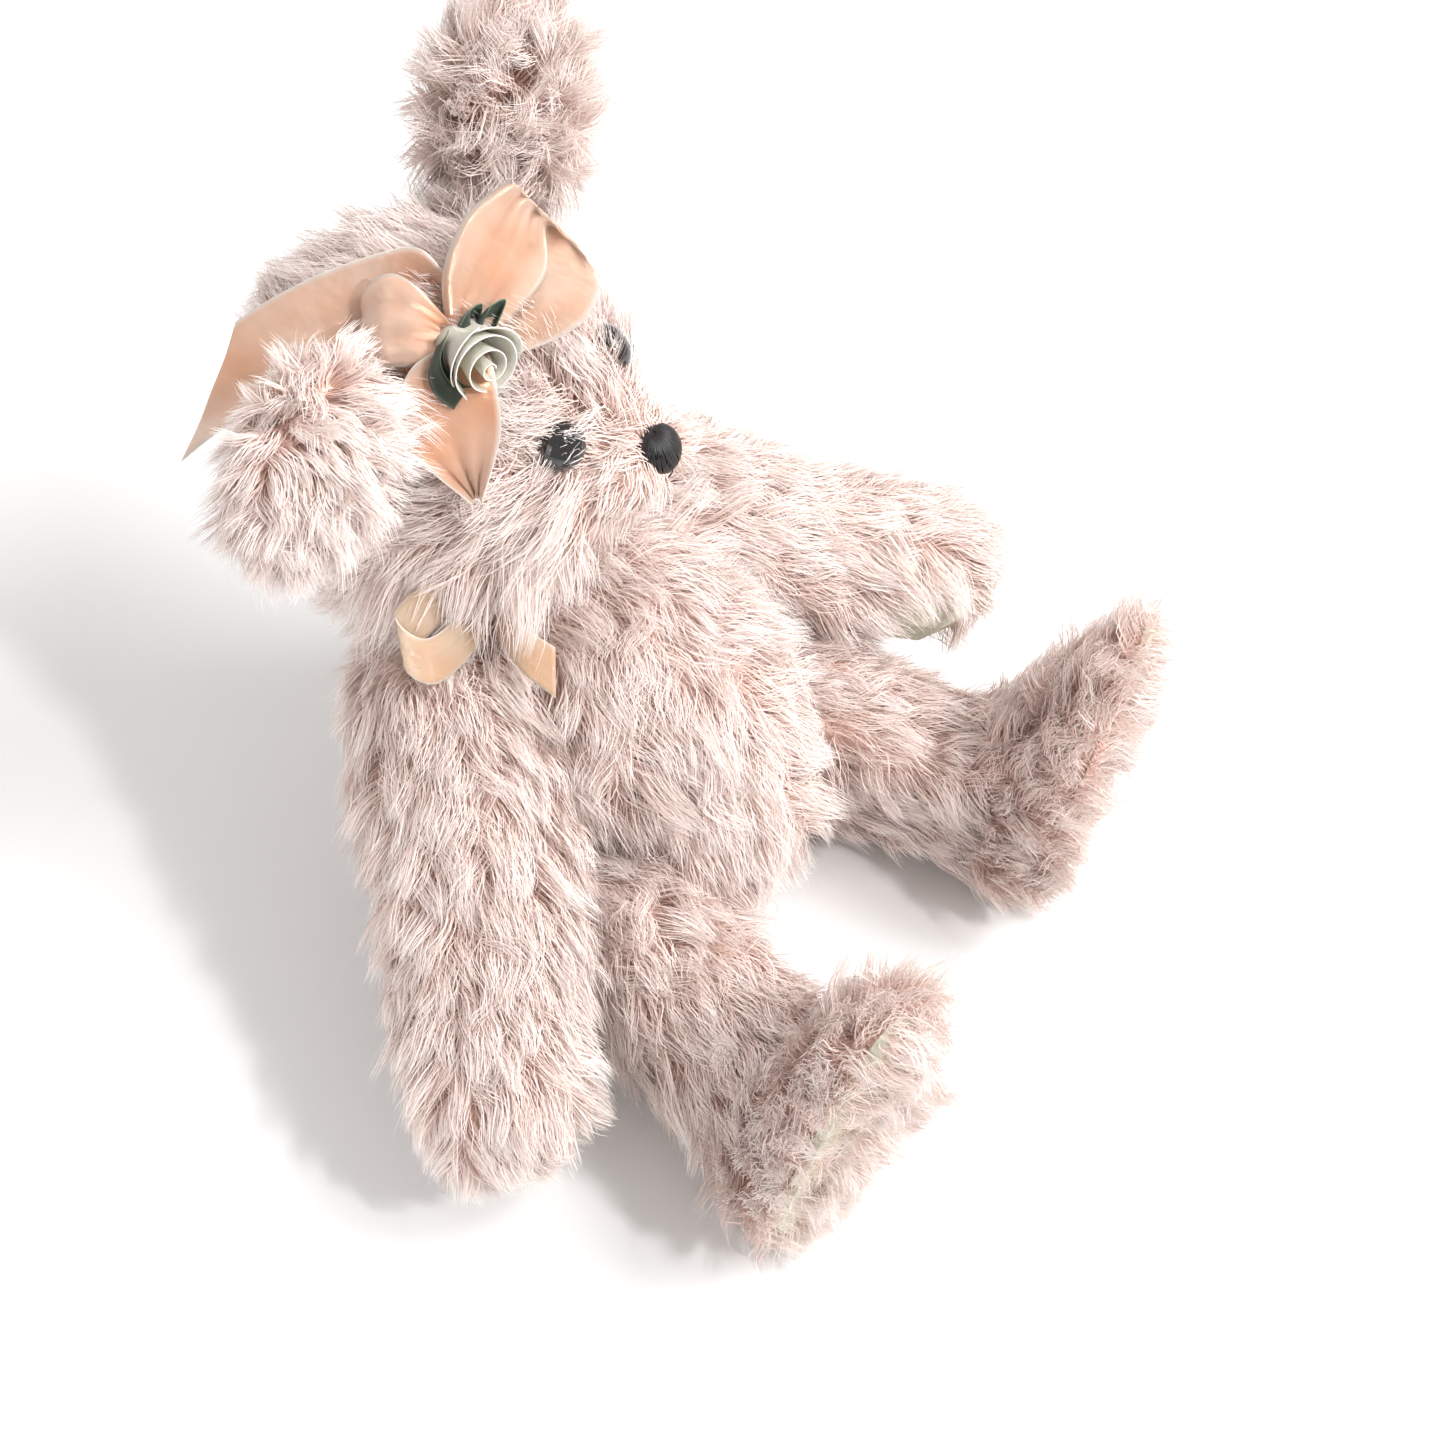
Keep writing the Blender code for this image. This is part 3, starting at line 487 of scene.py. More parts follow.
def strand_mesh(name, rails, tone, t, finish):
    """Ribbons from left and right rails, with their tone and length as UVs."""
    total, rows = rails.shape[:2]
    mesh = bpy.data.meshes.new(name)
    mesh.vertices.add(total * rows * 2)
    mesh.vertices.foreach_set("co", (rails * MM).astype(np.float32).ravel())
    first = (np.arange(total) * rows * 2)[:, None] + (np.arange(rows - 1) * 2)[None, :]
    quads = first[..., None] + np.array([0, 1, 3, 2])
    count = total * (rows - 1)
    mesh.loops.add(count * 4)
    mesh.loops.foreach_set("vertex_index", quads.astype(np.int32).ravel())
    mesh.polygons.add(count)
    mesh.polygons.foreach_set("loop_start", (np.arange(count) * 4).astype(np.int32))
    mesh.update(calc_edges=True)
    uv = mesh.uv_layers.new(name="OFBake")
    place = np.zeros((total, rows - 1, 4, 2), np.float32)
    place[..., 0] = tone[:, None, None]
    low, high = 0.02 + 0.96 * t[:-1], 0.02 + 0.96 * t[1:]
    place[..., 0:2, 1] = low[None, :, None]
    place[..., 2:4, 1] = high[None, :, None]
    uv.data.foreach_set("uv", place.ravel())
    mesh.materials.append(finish)
    mesh.shade_smooth()
    made = bpy.data.objects.new(name, mesh)
    bpy.context.scene.collection.objects.link(made)
    return made


def style(local, **given):
    """A pile's settings for each root, the same everywhere unless given as an array."""
    n = len(local)
    base = {
        "length": 15.0,
        "lift": 0.9,
        "rise": 0.06,
        "droop": 0.35,
        "curl": 0.42,
        "gather": 0.8,
        "width": 1.0,
    }
    base.update({k: v for k, v in given.items() if k in base})
    made = {k: np.broadcast_to(np.asarray(v, float), (n,)).copy() for k, v in base.items()}
    made["comb"] = given["comb"]
    made["keep"] = given.get("keep", np.ones(n, bool))
    made["waves"] = given.get("waves", 1.1)
    made["stray"] = given.get("stray", 0.3)
    made["locks_per_strand"] = given.get("locks_per_strand", 0.03)
    return made


def ramped(x, low, high):
    """0 below low, 1 above high, smooth between."""
    t = np.clip((x - low) / (high - low), 0.0, 1.0)
    return t * t * (3 - 2 * t)


# ---------------------------------------------------------------- sections

COLUMNS = 48

BODY_SECTIONS = (
    (-27, 0.4, 0.4, 0.4),
    (-25, 12, 8, 15),
    (-19, 22, 19, 28),
    (-9, 29, 29, 35),
    (4, 31, 36, 37),
    (18, 32, 41, 36),
    (32, 34, 43, 33),
    (46, 33, 40, 30),
    (60, 30, 33, 26),
    (71, 23, 25, 21),
    (77, 17.5, 19, 18),
    (81.7, 16.5, 17, 16),
)
ARM_SECTIONS = (
    (-17.0, 9, 0.3, 0.3, 0.3),
    (-15.5, 9, 6, 7.5, 7.5),
    (-11, 12, 11, 13.5, 13.5),
    (-1, 14, 13.8, 17, 17),
    (14, 15.5, 15.3, 19.5, 19.5),
    (34, 17, 15.5, 19.5, 19),
    (54, 20, 15, 19, 18),
    (72, 23.5, 14.5, 19.5, 16),
    (86, 26, 14, 19.5, 13),
    (96, 27, 9.5, 13, 7),
    (99.5, 27, 0.3, 0.3, 0.3),
)
LEG_SECTIONS = (
    (-21.5, 12, 0.3, 0.3, 0.3),
    (-20, 12, 8, 9, 9),
    (-14.5, 13.5, 12.5, 16, 16),
    (-2, 14.5, 14.5, 20, 20),
    (14, 14.8, 15, 21, 20),
    (32, 14.8, 15, 20, 18.5),
    (47, 15, 14.8, 18.5, 17.5),
    (57, 15.5, 15.8, 24, 19),
    (65, 16.5, 17.5, 45, 21.5),
    (72, 17, 18.8, 62, 23),
    (79, 17, 17.5, 66, 21.5),
)
WRIST = -64.0
LIMB_SPLIT = 15.0
HEAD_SECTIONS = (
    (33, 0.4, 0.4, -0.4),
    (31, 13, 14, -21),
    (25, 23, 23, -38),
    (13, 30, 32, -53),
    (-2, 33.5, 35.5, -47),
    (-14, 31.5, 33.5, -38),
    (-24, 26, 26, -29),
    (-31, 19.5, 16, -22.5),
    (-38, 14.5, 8, -19),
    (-44, 12, 4, -17),
    (-48, 7, -0.5, -13),
    (-49.5, 0.3, -6.7, -7.3),
)
DENTS = {"shoulder": 22.0, "hip": 26.0}


def angles():
    return np.linspace(0, 2 * math.pi, COLUMNS, endpoint=False)


def sphere_ring(polar, a):
    """A ring of a unit sphere at one angle from its pole."""
    level = np.sin(polar)
    return np.stack([level * np.cos(a), level * np.sin(a), np.full(len(a), np.cos(polar))], 1)


def body_rings():
    a = angles()
    rings = []
    for height, half, front, back in smooth_rows(BODY_SECTIONS, 4):
        depth = np.where(np.sin(a) > 0, back, front)
        rings.append(np.stack([half * np.cos(a), depth * np.sin(a), np.full(COLUMNS, height)], 1))
    return np.concatenate(rings)


def limb_rings(sections, sign, flat_to):
    """Rings down a limb, pressed flat against the body above the level flat_to."""
    a = angles()
    rings = []
    for down, middle, half, front, back in smooth_rows(sections, 4):
        full = np.where(np.cos(a) < 0, INNER_FULLNESS, 1.0)
        x = middle + max(half, 0.3) * full * np.cos(a)
        y = np.where(np.sin(a) > 0, back, front) * np.sin(a)
        if down < flat_to:
            x = np.maximum(x, 0.3)
        rings.append(np.stack([sign * x, y, np.full(COLUMNS, -down)], 1))
    return np.concatenate(rings)


def head_rings():
    a = angles()
    rings = []
    for y, half, top, bottom in smooth_rows(HEAD_SECTIONS, 4):
        middle, tall = (top + bottom) / 2, (top - bottom) / 2
        rings.append(np.stack([half * np.cos(a), np.full(COLUMNS, y), middle + tall * np.sin(a)], 1))
    local = np.concatenate(rings)
    neck = to_local(NECK, to_row(HEAD, local))
    neck[:, 2] = np.maximum(neck[:, 2], 0.3)
    return to_local(HEAD, to_row(NECK, neck))


def joint_side(frame_matrix, sign):
    return frame_matrix @ turn(sign * 90.0, "Y")


def body_skin():
    local = body_rings()
    row = to_row(TORSO, local)
    for side, sign in SIDE_SIGN.items():
        for kind, matrix in (("shoulder", arm_frame(side)), ("hip", leg_frame(side))):
            facing = joint_side(matrix, sign)
            seen = to_local(facing, row)
            near = np.hypot(seen[:, 0], seen[:, 1]) < DENTS[kind]
            seen[:, 2] = np.where(near, np.minimum(seen[:, 2], -0.6), seen[:, 2])
            row = to_row(facing, seen)
    row[:, 2] = np.maximum(row[:, 2], 0.0)
    local = to_local(TORSO, row)
    made = skin(
        "body_backing",
        TORSO,
        local,
        COLUMNS,
        lambda p: np.minimum(NECK_HEIGHT - p[:, 2], to_row(TORSO, p)[:, 2] + 1.5),
        "torso",
        ("body_front_panel", "body_back_panel"),
    )
    return made


def hidden_by_limbs(local):
    """True where the body lies under a limb's disc."""
    row = to_row(TORSO, local)
    hidden = np.zeros(len(local), bool)
    for side, sign in SIDE_SIGN.items():
        for kind, matrix in (("shoulder", arm_frame(side)), ("hip", leg_frame(side))):
            seen = to_local(joint_side(matrix, sign), row)
            radius = np.hypot(seen[:, 0], seen[:, 1])
            hidden |= (radius < DENTS[kind] - 7.0) & (seen[:, 2] > -8.0)
    return hidden


def body_style(local, normal, rng):
    x, y, z = local.T
    down = np.array([0.0, 0.0, -1.0]) + np.array([0.0, -0.25, 0.0])
    comb = np.broadcast_to(down, local.shape) + np.stack([0.35 * np.sign(x), 0 * x, 0 * x], 1)
    top = (z > NECK_HEIGHT - 4) & (np.hypot(x, y) < 14)
    seat = to_row(TORSO, local)[:, 2] < 1.5
    return style(
        local,
        comb=comb,
        keep=~(hidden_by_limbs(local) | top | seat),
        length=14.0 + 2.0 * ramped(z, 10, 60),
        lift=0.95,
        droop=0.2,
        curl=0.38,
        stray=0.38,
        locks_per_strand=0.028,
    )


def arm_style(sign):
    def made(local, normal, rng):
        x, y, z = local.T
        out = sign * x
        comb = np.stack([0.25 * sign + 0 * x, 0.15 * np.sign(y), -1.0 + 0 * z], 1)
        joint_face = (out < 3.0) & (z > -16)
        pad = (z < WRIST - 1.0) & (out < LIMB_SPLIT - 1.0)
        fringe = ramped(-z, 58, 68) * (1 - ramped(out, 14, 22))
        comb = comb + np.array([-0.35 * sign, -0.3, 0.0]) * ramped(-z, 62, 90)[:, None]
        comb = comb + np.array([-1.1 * sign, 0.0, 0.0]) * fringe[:, None]
        return style(
            local,
            comb=comb,
            keep=~(joint_face | pad),
            length=14.0 - 4.5 * ramped(-z, 70, 96) + 3.0 * fringe,
            lift=0.85,
            droop=0.3 + 0.5 * ramped(-z, 60, 95),
            curl=0.36,
            stray=0.3,
            locks_per_strand=0.024,
        )

    return made


def leg_style(sign, curly):
    def made(local, normal, rng):
        x, y, z = local.T
        out = sign * x
        foot = ramped(-z, 48, 66)
        forward = -0.75 * foot * (y < 8) + 0.3 * foot * (y > 12)
        comb = np.stack([0.12 * sign + 0 * x, forward, -1.0 + 0.25 * foot], 1)
        joint_face = (out < 3.0) & (z > -20)
        under = (normal[:, 2] < -0.72) & (z < -70)
        rim = ramped(-z, 62, 72)
        patch = np.exp(-(((y + 18) / 17) ** 2 + ((z + 68) / 9) ** 2)) * (out > 20) if curly else 0 * x
        return style(
            local,
            comb=comb,
            keep=~(joint_face | under),
            length=13.5 + 1.0 * rim - 3.0 * patch,
            lift=0.95 - 0.1 * foot,
            droop=0.15 + 0 * x,
            curl=0.38 + 0.25 * rim + 0.9 * patch,
            stray=0.34,
            locks_per_strand=0.028,
        )

    return made


def head_style(local, normal, rng):
    x, y, z = local.T
    nose = np.array([0.0, -47.0, 0.0])
    away = unit(local - nose)
    muzzle = ramped(-y, 33, 42)
    cheek = ramped(-z, -4, 14) * ramped(-y, -12, 6)
    hanging = np.array([0.0, 0.0, -1.0]) * (cheek * 1.3)[:, None]
    lifted = np.array([0.0, 0.0, 0.5]) * ((1 - cheek) * (1 - muzzle))[:, None]
    comb = away + hanging + lifted
    neck = to_local(NECK, to_row(HEAD, local))
    hidden = (neck[:, 2] < 3.0) & (np.hypot(neck[:, 0], neck[:, 1]) < 15)
    keep = ~hidden
    near_eye = np.zeros(len(local))
    for sign in (-1.0, 1.0):
        eye = np.array([sign * EYE_POSITION[0], EYE_POSITION[1], EYE_POSITION[2]])
        gap = np.linalg.norm(local - eye, axis=1)
        keep &= gap > 4.7
        near_eye = np.maximum(near_eye, 1 - ramped(gap, 5, 12))
        comb = comb + unit(local - eye) * (0.35 * (1 - ramped(gap, 4, 9)))[:, None]
    keep &= np.linalg.norm(local - np.array([0.0, -48.0, -3.0]), axis=1) > 4.2
    length = 15.5 + 9.0 * cheek * (1 - muzzle)
    brow = ramped(-y, 16, 26) * ramped(z, 6, 14) * (1 - ramped(np.abs(x), 9, 16))
    length = length * (1 - 0.5 * muzzle) * (1 - 0.25 * near_eye) + 4.0 * brow
    return style(
        local,
        comb=comb,
        keep=keep,
        length=length,
        lift=(1.0 - 0.45 * muzzle) * (1 - 0.3 * near_eye),
        rise=0.08,
        droop=0.2 + 0.45 * cheek,
        curl=0.36 - 0.12 * muzzle,
        stray=0.34,
        locks_per_strand=0.026,
    )


EAR_RADII = {"left": np.array([17.5, 8.0, 15.0]), "right": np.array([15.5, 7.5, 13.0])}


def ear_frame(sign):
    place = shift(sign * EAR_POSITION[0], EAR_POSITION[1], EAR_POSITION[2])
    return HEAD @ place @ turn(-sign * 34.0, "Y").inverted() @ turn(sign * 12.0, "Z")


def ear_skin(side):
    sign = SIDE_SIGN[side]
    a = angles()
    rings = []
    for polar in np.linspace(0.06, math.pi - 0.06, 22):
        rings.append(sphere_ring(polar, a) * (EAR_RADII[side] + INSET))
    return skin(
        f"ear_{side}_backing",
        ear_frame(sign),
        np.concatenate(rings),
        COLUMNS,
        lambda p: np.full(len(p), JOINT_FADE),
        "head",
        (f"ear_{side}_front", f"ear_{side}_back"),
    )


def ear_style(sign):
    def made(local, normal, rng):
        radial = unit(local * np.array([1.0, 0.4, 1.0]))
        hang = np.array([-0.55, -0.25, -0.95]) if sign < 0 else np.array([0.1, -0.1, 0.25])
        upper = ramped(local[:, 2], -4, 12) * (sign < 0)
        return style(
            local,
            comb=radial * (0.9 - 0.5 * upper)[:, None] + hang + 0.35 * rng.normal(size=local.shape),
            length=14.5 - 4.0 * upper + 2.5 * (sign > 0),
            lift=0.85 + 0.6 * (sign > 0),
            rise=0.3,
            droop=0.2 + 0.35 * (sign < 0),
            curl=0.42,
            gather=0.5,
            stray=0.5,
            locks_per_strand=0.04,
        )

    return made


def grow_bear():
    """Backing and pile for every section."""
    trunk = body_skin()
    for i in range(3):
        pile(f"body_pile_{i + 1}", trunk, 15500, body_style, "torso", seed=10 + i)
    for side, sign in SIDE_SIGN.items():
        local = limb_rings(ARM_SECTIONS, sign, 200.0)
        arm = skin(
            f"arm_{side}_backing",
            arm_frame(side),
            local,
            COLUMNS,
            lambda p, s=sign: s * p[:, 0],
            f"arm_{side}",
            (f"arm_{side}_outer_panel", f"arm_{side}_inner_panel"),
        )
        for i in range(2):
            name = f"arm_{side}_pile_{i + 1}"
            pile(name, arm, 15000, arm_style(sign), f"arm_{side}", seed=20 + i + int(sign))
        local = limb_rings(LEG_SECTIONS, sign, 60.0)
        leg = skin(
            f"leg_{side}_backing",
            leg_frame(side),
            local,
            COLUMNS,
            lambda p, s=sign: np.where(p[:, 2] > -60, s * p[:, 0], JOINT_FADE),
            f"leg_{side}",
            (f"leg_{side}_outer_panel", f"leg_{side}_inner_panel"),
        )
        for i in range(2):
            grown = leg_style(sign, side == "right")
            pile(f"leg_{side}_pile_{i + 1}", leg, 16500, grown, f"leg_{side}", seed=30 + i + int(sign))
    head = skin(
        "head_backing",
        HEAD,
        head_rings(),
        COLUMNS,
        lambda p: to_local(NECK, to_row(HEAD, p))[:, 2],
        "head",
        ("head_left_panel", "head_right_panel", "head_gusset"),
    )
    for i in range(4):
        pile(f"head_pile_{i + 1}", head, 15000, head_style, "head", seed=40 + i)
    for side in SIDE_SIGN:
        ear = ear_skin(side)
        sign = SIDE_SIGN[side]
        pile(f"ear_{side}_pile", ear, 15500, ear_style(sign), "head", seed=50 + int(sign))


# ---------------------------------------------------------------- face


def lathe(name, profile, matrix, finish, steps=48):
    """A solid turned about the frame's Z from (radius, height) points, top to bottom."""
    profile = smooth_rows(profile, 6)
    a = np.linspace(0, 2 * math.pi, steps, endpoint=False)
    rings = []
    for r, z in profile:
        r = max(r, 0.02)
        rings.append(np.stack([r * np.cos(a), r * np.sin(a), np.full(steps, z)], 1))
    row = to_row(matrix, np.concatenate(rings))
    return mesh_object(name, row, outward(row, tube_faces(len(rings), steps)), finish)


def eye_frame(sign):
    direction = Vector((sign * EYE_DIRECTION[0], EYE_DIRECTION[1], EYE_DIRECTION[2]))
    place = shift(sign * EYE_POSITION[0], EYE_POSITION[1], EYE_POSITION[2])
    return HEAD @ place @ direction.to_track_quat("Z", "Y").to_matrix().to_4x4()


def eyes():
    for side, sign in SIDE_SIGN.items():
        profile = [(0, 1.3), (2.7, 0.8), (4.5, -0.7), (4.9, -2.5), (4.0, -4.1), (0, -4.8)]
        made = lathe(f"eye_{side}_ball", profile, eye_frame(sign), GLASS)
        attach(made, "head")
        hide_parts(f"eye_{side}")


def tube(name, lines, radius, finish):
    """Round threads along several lines of row-frame millimetre points, as one mesh."""
    points, faces = [], []
    for line in lines:
        line = np.array(line, float)
        along = unit(np.gradient(line, axis=0))
        side = unit(np.cross(along, np.array([0.31, 0.52, 0.79])))
        up = np.cross(along, side)
        sides = 6
        a = np.linspace(0, 2 * math.pi, sides, endpoint=False)
        start = len(points)
        for i in range(len(line)):
            r = radius * (0.45 if i in (0, len(line) - 1) else 1.0)
            ring = line[i] + r * (np.cos(a)[:, None] * side[i] + np.sin(a)[:, None] * up[i])
            points.extend(ring.tolist())
        for face in tube_faces(len(line), sides):
            faces.append(tuple(start + k for k in face))
    return mesh_object(name, points, faces, finish)


def nose():
    """An oval pad worked in upright satin stitches, with the mouth's stitches under it."""
    rng = np.random.default_rng(SEED + 60)
    lines = []
    core = np.array([5.3, 4.8, 4.6])
    middle = np.array([0.0, -44.9, -3.2])
    for around_z in np.radians(np.linspace(-84, 84, 29)):
        line = []
        for up in np.radians(np.linspace(-82, 82, 13)):
            level = math.cos(up)
            drift = 0.02 * rng.normal()
            place = (math.sin(around_z + drift) * level, -math.cos(around_z + drift) * level, math.sin(up))
            line.append(middle + np.array(place) * (core + 0.15))
        lines.append(to_row(HEAD, np.array(line)))
    pad = tube("nose_stitches", lines, 0.34, THREAD)
    a = np.linspace(0, 2 * math.pi, 24, endpoint=False)
    rings = []
    for polar in np.linspace(0.05, math.pi - 0.05, 14):
        rings.append(sphere_ring(polar, a) * core + middle)
    row = to_row(HEAD, np.concatenate(rings))
    backing = mesh_object("nose_pad", row, outward(row, tube_faces(14, 24)), THREAD)
    mouth = [
        [(0, -48.0, -7.5), (0, -46.8, -10.0), (0, -44.6, -12.6)],
        [(0, -44.6, -12.6), (-3.0, -43.6, -14.0), (-6.5, -41.0, -14.6)],
        [(0, -44.6, -12.6), (3.0, -43.6, -14.0), (6.5, -41.0, -14.6)],
    ]
    lines = [to_row(HEAD, smooth_rows(line, 5)) for line in mouth]
    stitches = tube("mouth_stitches", lines, 0.55, THREAD)
    for made in (pad, backing, stitches):
        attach(made, "head")
    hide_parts("nose_and_mouth")


# ---------------------------------------------------------------- ribbons


def ribbon(name, stations, finish, matrix, folds=0.0, cup=0.0, across=15, steps=10, fold_count=3.0):
    """A ribbon through (centre, half width vector) stations, with folds where it is gathered."""
    rows = smooth_rows([(*centre, *half) for centre, half in stations], steps)
    centre, half = rows[:, :3], rows[:, 3:]
    along = unit(np.gradient(centre, axis=0))
    out = unit(np.cross(half, along))
    wide = np.linalg.norm(half, axis=1)
    gathered = 1.0 - np.clip(wide / wide.max(), 0, 1)
    s = np.linspace(-1, 1, across)
    u = (s + 1) / 2
    points = centre[:, None, :] + half[:, None, :] * s[None, :, None]
    wave = folds * (0.25 + gathered)[:, None] * np.cos(math.pi * fold_count * s)[None, :]
    wave = wave + cup * (1 - s**2)[None, :] * np.ones(len(rows))[:, None]
    points = points + out[:, None, :] * wave[..., None]
    run = np.concatenate([[0], np.cumsum(np.linalg.norm(np.diff(centre, axis=0), axis=1))])
    count = len(rows)
    faces = []
    for r in range(count - 1):
        for c in range(across - 1):
            k = r * across + c
            faces.append((k, k + 1, k + 1 + across, k + across))
    made = mesh_object(name, to_row(matrix, points.reshape(-1, 3)), faces, finish)
    uv = made.data.uv_layers.new(name="OFBake")
    places = np.stack(np.broadcast_arrays(u[None, :], (run / max(run[-1], 1e-6))[:, None]), -1).reshape(-1, 2)
    index = np.zeros(len(made.data.loops), np.int32)
    made.data.loops.foreach_get("vertex_index", index)
    uv.data.foreach_set("uv", places[index].astype(np.float32).ravel())
    solid = made.modifiers.new("thickness", "SOLIDIFY")
    solid.thickness = RIBBON_THICKNESS * MM
    solid.offset = 0.0
    return made, points


def around(path, spread, half):
    """Stations about the bow's knot from offsets, widths' shares and a half width vector."""
    x, y, z = BOW_POSITION
    out = []
    for i, (dx, dy, dz) in enumerate(path):
        vector = half[i] if isinstance(half, list) else half
        out.append(((x + dx, y + dy, z + dz), tuple(h * spread[i] for h in vector)))
    return out


def hair_bow():
    """Two loops, a short folded tail and a long streamer, gathered at one knot."""
    made = {}
    path = [
        (2, 0, 0),
        (9, -1, 5),
        (18, -4, 10),
        (25, -6, 14),
        (24, -11, 10),
        (17, -11, 5),
        (9, -6, 0),
        (2, -2, -1),
    ]
    tilt = [
        (1.0, -3.0, -3.0),
        (0.0, -6.5, -5.0),
        (0.0, -7.0, -5.5),
        (-1.0, -6.0, -5.0),
        (-2.0, -8.0, -7.0),
        (-2.0, -8.0, -7.0),
        (-1.0, -6.0, -5.0),
        (0.0, -3.0, -3.0),
    ]
    stations = around(path, (0.7, 0.9, 1.0, 0.7, 1.0, 1.0, 0.9, 0.7), tilt)
    made["bow_upper_loop"] = ribbon("bow_upper_loop", stations, SATIN, HEAD, folds=1.0, cup=1.4)
    path = [
        (1, 1, 1),
        (-1, 6, 5),
        (-2, 11, 6.5),
        (-3, 16, 4),
        (-3, 16, 1),
        (-2, 11, -0.5),
        (-1, 6, -1),
        (1, 1, -1),
    ]
    stations = around(path, (0.35, 0.8, 1.0, 1.0, 1.0, 1.0, 0.75, 0.35), (6.5, 1.6, 5.2))
    made["bow_left_loop"] = ribbon("bow_left_loop", stations, SATIN, HEAD, folds=1.2, cup=0.8)
    path = [(0, -1, 1), (-5, -1, 1.5), (-10, -2, -2), (-14, -3.5, -9), (-17, -7, -21)]
    stations = around(path, (0.3, 0.85, 1.05, 1.0, 0.1), (4.2, -7.2, -0.6))
    made["bow_front_tail"] = ribbon("bow_front_tail", stations, SATIN, HEAD, folds=0.8, cup=2.2)
    path = [(7, 5, 4), (5, 13, 5), (-1, 21, 4.5), (-8, 30, 2.5), (-14, 38, -1), (-18, 43, -4)]
    stations = around(path, (0.35, 0.85, 1.0, 1.08, 1.15, 1.2), (8.4, -2.6, 7.4))
    made["hair_streamer"] = ribbon(
        "hair_streamer", stations, SATIN, HEAD, folds=1.0, cup=-1.2, fold_count=2.0
    )
    for piece, points in made.values():
        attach(piece, "head")
    profile = [(0, 3.0), (3.0, 2.4), (4.2, 0.0), (3.0, -2.4), (0, -3.0)]
    knot = lathe("bow_knot", profile, HEAD @ shift(*BOW_POSITION), SATIN, 24)
    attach(knot, "head")
    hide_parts("hair_bow")
    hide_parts("hair_ribbon_streamer")


def rosebud():
    """A bud rolled from narrow ivory ribbon, with dark green ribbon folded round it."""
    x, y, z = BOW_POSITION
    axis = Vector((-0.55, -0.82, 0.12)).to_track_quat("Z", "Y").to_matrix().to_4x4()
    bud = HEAD @ shift(x - 1.5, y - 4.5, z + 1.0) @ axis
    coil = []
    for t in np.linspace(0, 1, 26):
        a = 2 * math.pi * 2.6 * t
        r = 0.6 + 4.9 * t
        tilt = 1.8 * t
        half = (tilt * math.cos(a), tilt * math.sin(a), 4.6)
        coil.append(((r * math.cos(a), r * math.sin(a), 1.2 - 1.6 * t), half))
    rolled = ribbon("rosebud_roll", coil, IVORY, bud, steps=4, across=7)[0]
    pieces = [rolled]
    for i, start in enumerate((0.4, 2.5, 4.6)):
        petal = []
        for t in np.linspace(-1, 1, 7):
            a = start + 1.15 * t
            r = 6.3 - 0.9 * t * t
            half = (1.3 * math.cos(a), 1.3 * math.sin(a), 5.0 - 2.2 * t * t)
            petal.append(((r * math.cos(a), r * math.sin(a), -0.8 - 0.4 * i), half))
        pieces.append(ribbon(f"rosebud_petal_{i + 1}", petal, IVORY, bud, steps=5, across=9, cup=0.9)[0])
    leaves = (
        [(2, -3, 2), (4.5, -4.5, 5.5), (7.5, -6, 4.5), (4.5, -5, 1.5)],
        [(1, -1.5, 2.5), (2, -1.5, 6.0), (5.0, -2.5, 5.0), (2.5, -2, 2)],
        [(-4.5, 1.5, 3.5), (-7.0, 0.5, 0.5), (-7.5, -2.5, -3.0), (-5.5, -5.5, -5.0)],
        [(-2.5, 1.0, 5.0), (-7.5, 1.0, 2.5), (-9.5, -1.0, -0.5), (-9.0, -3.5, -3.5)],
    )
    for i, path in enumerate(leaves):
        stations = [((x + dx, y + dy, z + dz), (0.9, -1.1, 1.5)) for dx, dy, dz in path]
        pieces.append(ribbon(f"rosebud_leaf_{i + 1}", stations, GREEN, HEAD, steps=6, across=5, cup=0.4)[0])
    for made in pieces:
        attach(made, "head")
    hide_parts("rosebud")
    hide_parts("rosebud_leaves")


def neck_ribbon():
    """The ribbon round the neck, shown opaque, with a loose loop at the right of the front."""
    stations = []
    for a in np.linspace(0, 2 * math.pi, 25):
        r = 20.5 + 1.3 * math.sin(3 * a) + 0.8 * math.sin(5 * a + 1)
        centre = (r * math.cos(a), r * math.sin(a), 79.0 + 1.0 * math.sin(2 * a))
        stations.append((centre, (0.8 * math.cos(a), 0.8 * math.sin(a), 4.6)))
    band, points = ribbon("neck_ribbon_band", stations, SHEER, TORSO, steps=5, across=7, cup=0.5)
    loop = [
        ((-22, -14, 79), (0.5, 0, 2.0)),
        ((-30, -21, 85), (1.0, -1.0, 4.0)),
        ((-39, -20, 86), (1.5, -1.5, 4.8)),
        ((-46, -16, 84), (1.5, -1.5, 5.0)),
        ((-44, -18, 77), (1.2, -1.2, 4.6)),
        ((-33, -21, 77), (0.8, -0.6, 3.8)),
        ((-22, -14, 77), (0.5, 0, 2.0)),
    ]
    bow, points = ribbon("neck_ribbon_loop", loop, SHEER, TORSO, steps=8, across=9, folds=0.5)
    tail = [
        ((-22, -14, 78), (0.5, 0, 2.0)),
        ((-27, -21, 75), (2.0, -0.5, 3.6)),
        ((-31, -27, 69), (2.4, -0.8, 4.0)),
        ((-31, -32, 62), (2.6, -1.0, 4.2)),
    ]
    end, points = ribbon("neck_ribbon_tail", tail, SHEER, TORSO, steps=8, across=9, folds=0.4)
    for made in (band, bow, end):
        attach(made, "torso")
    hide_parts("neck_ribbon")


# ---------------------------------------------------------------- CAD nodes that stay


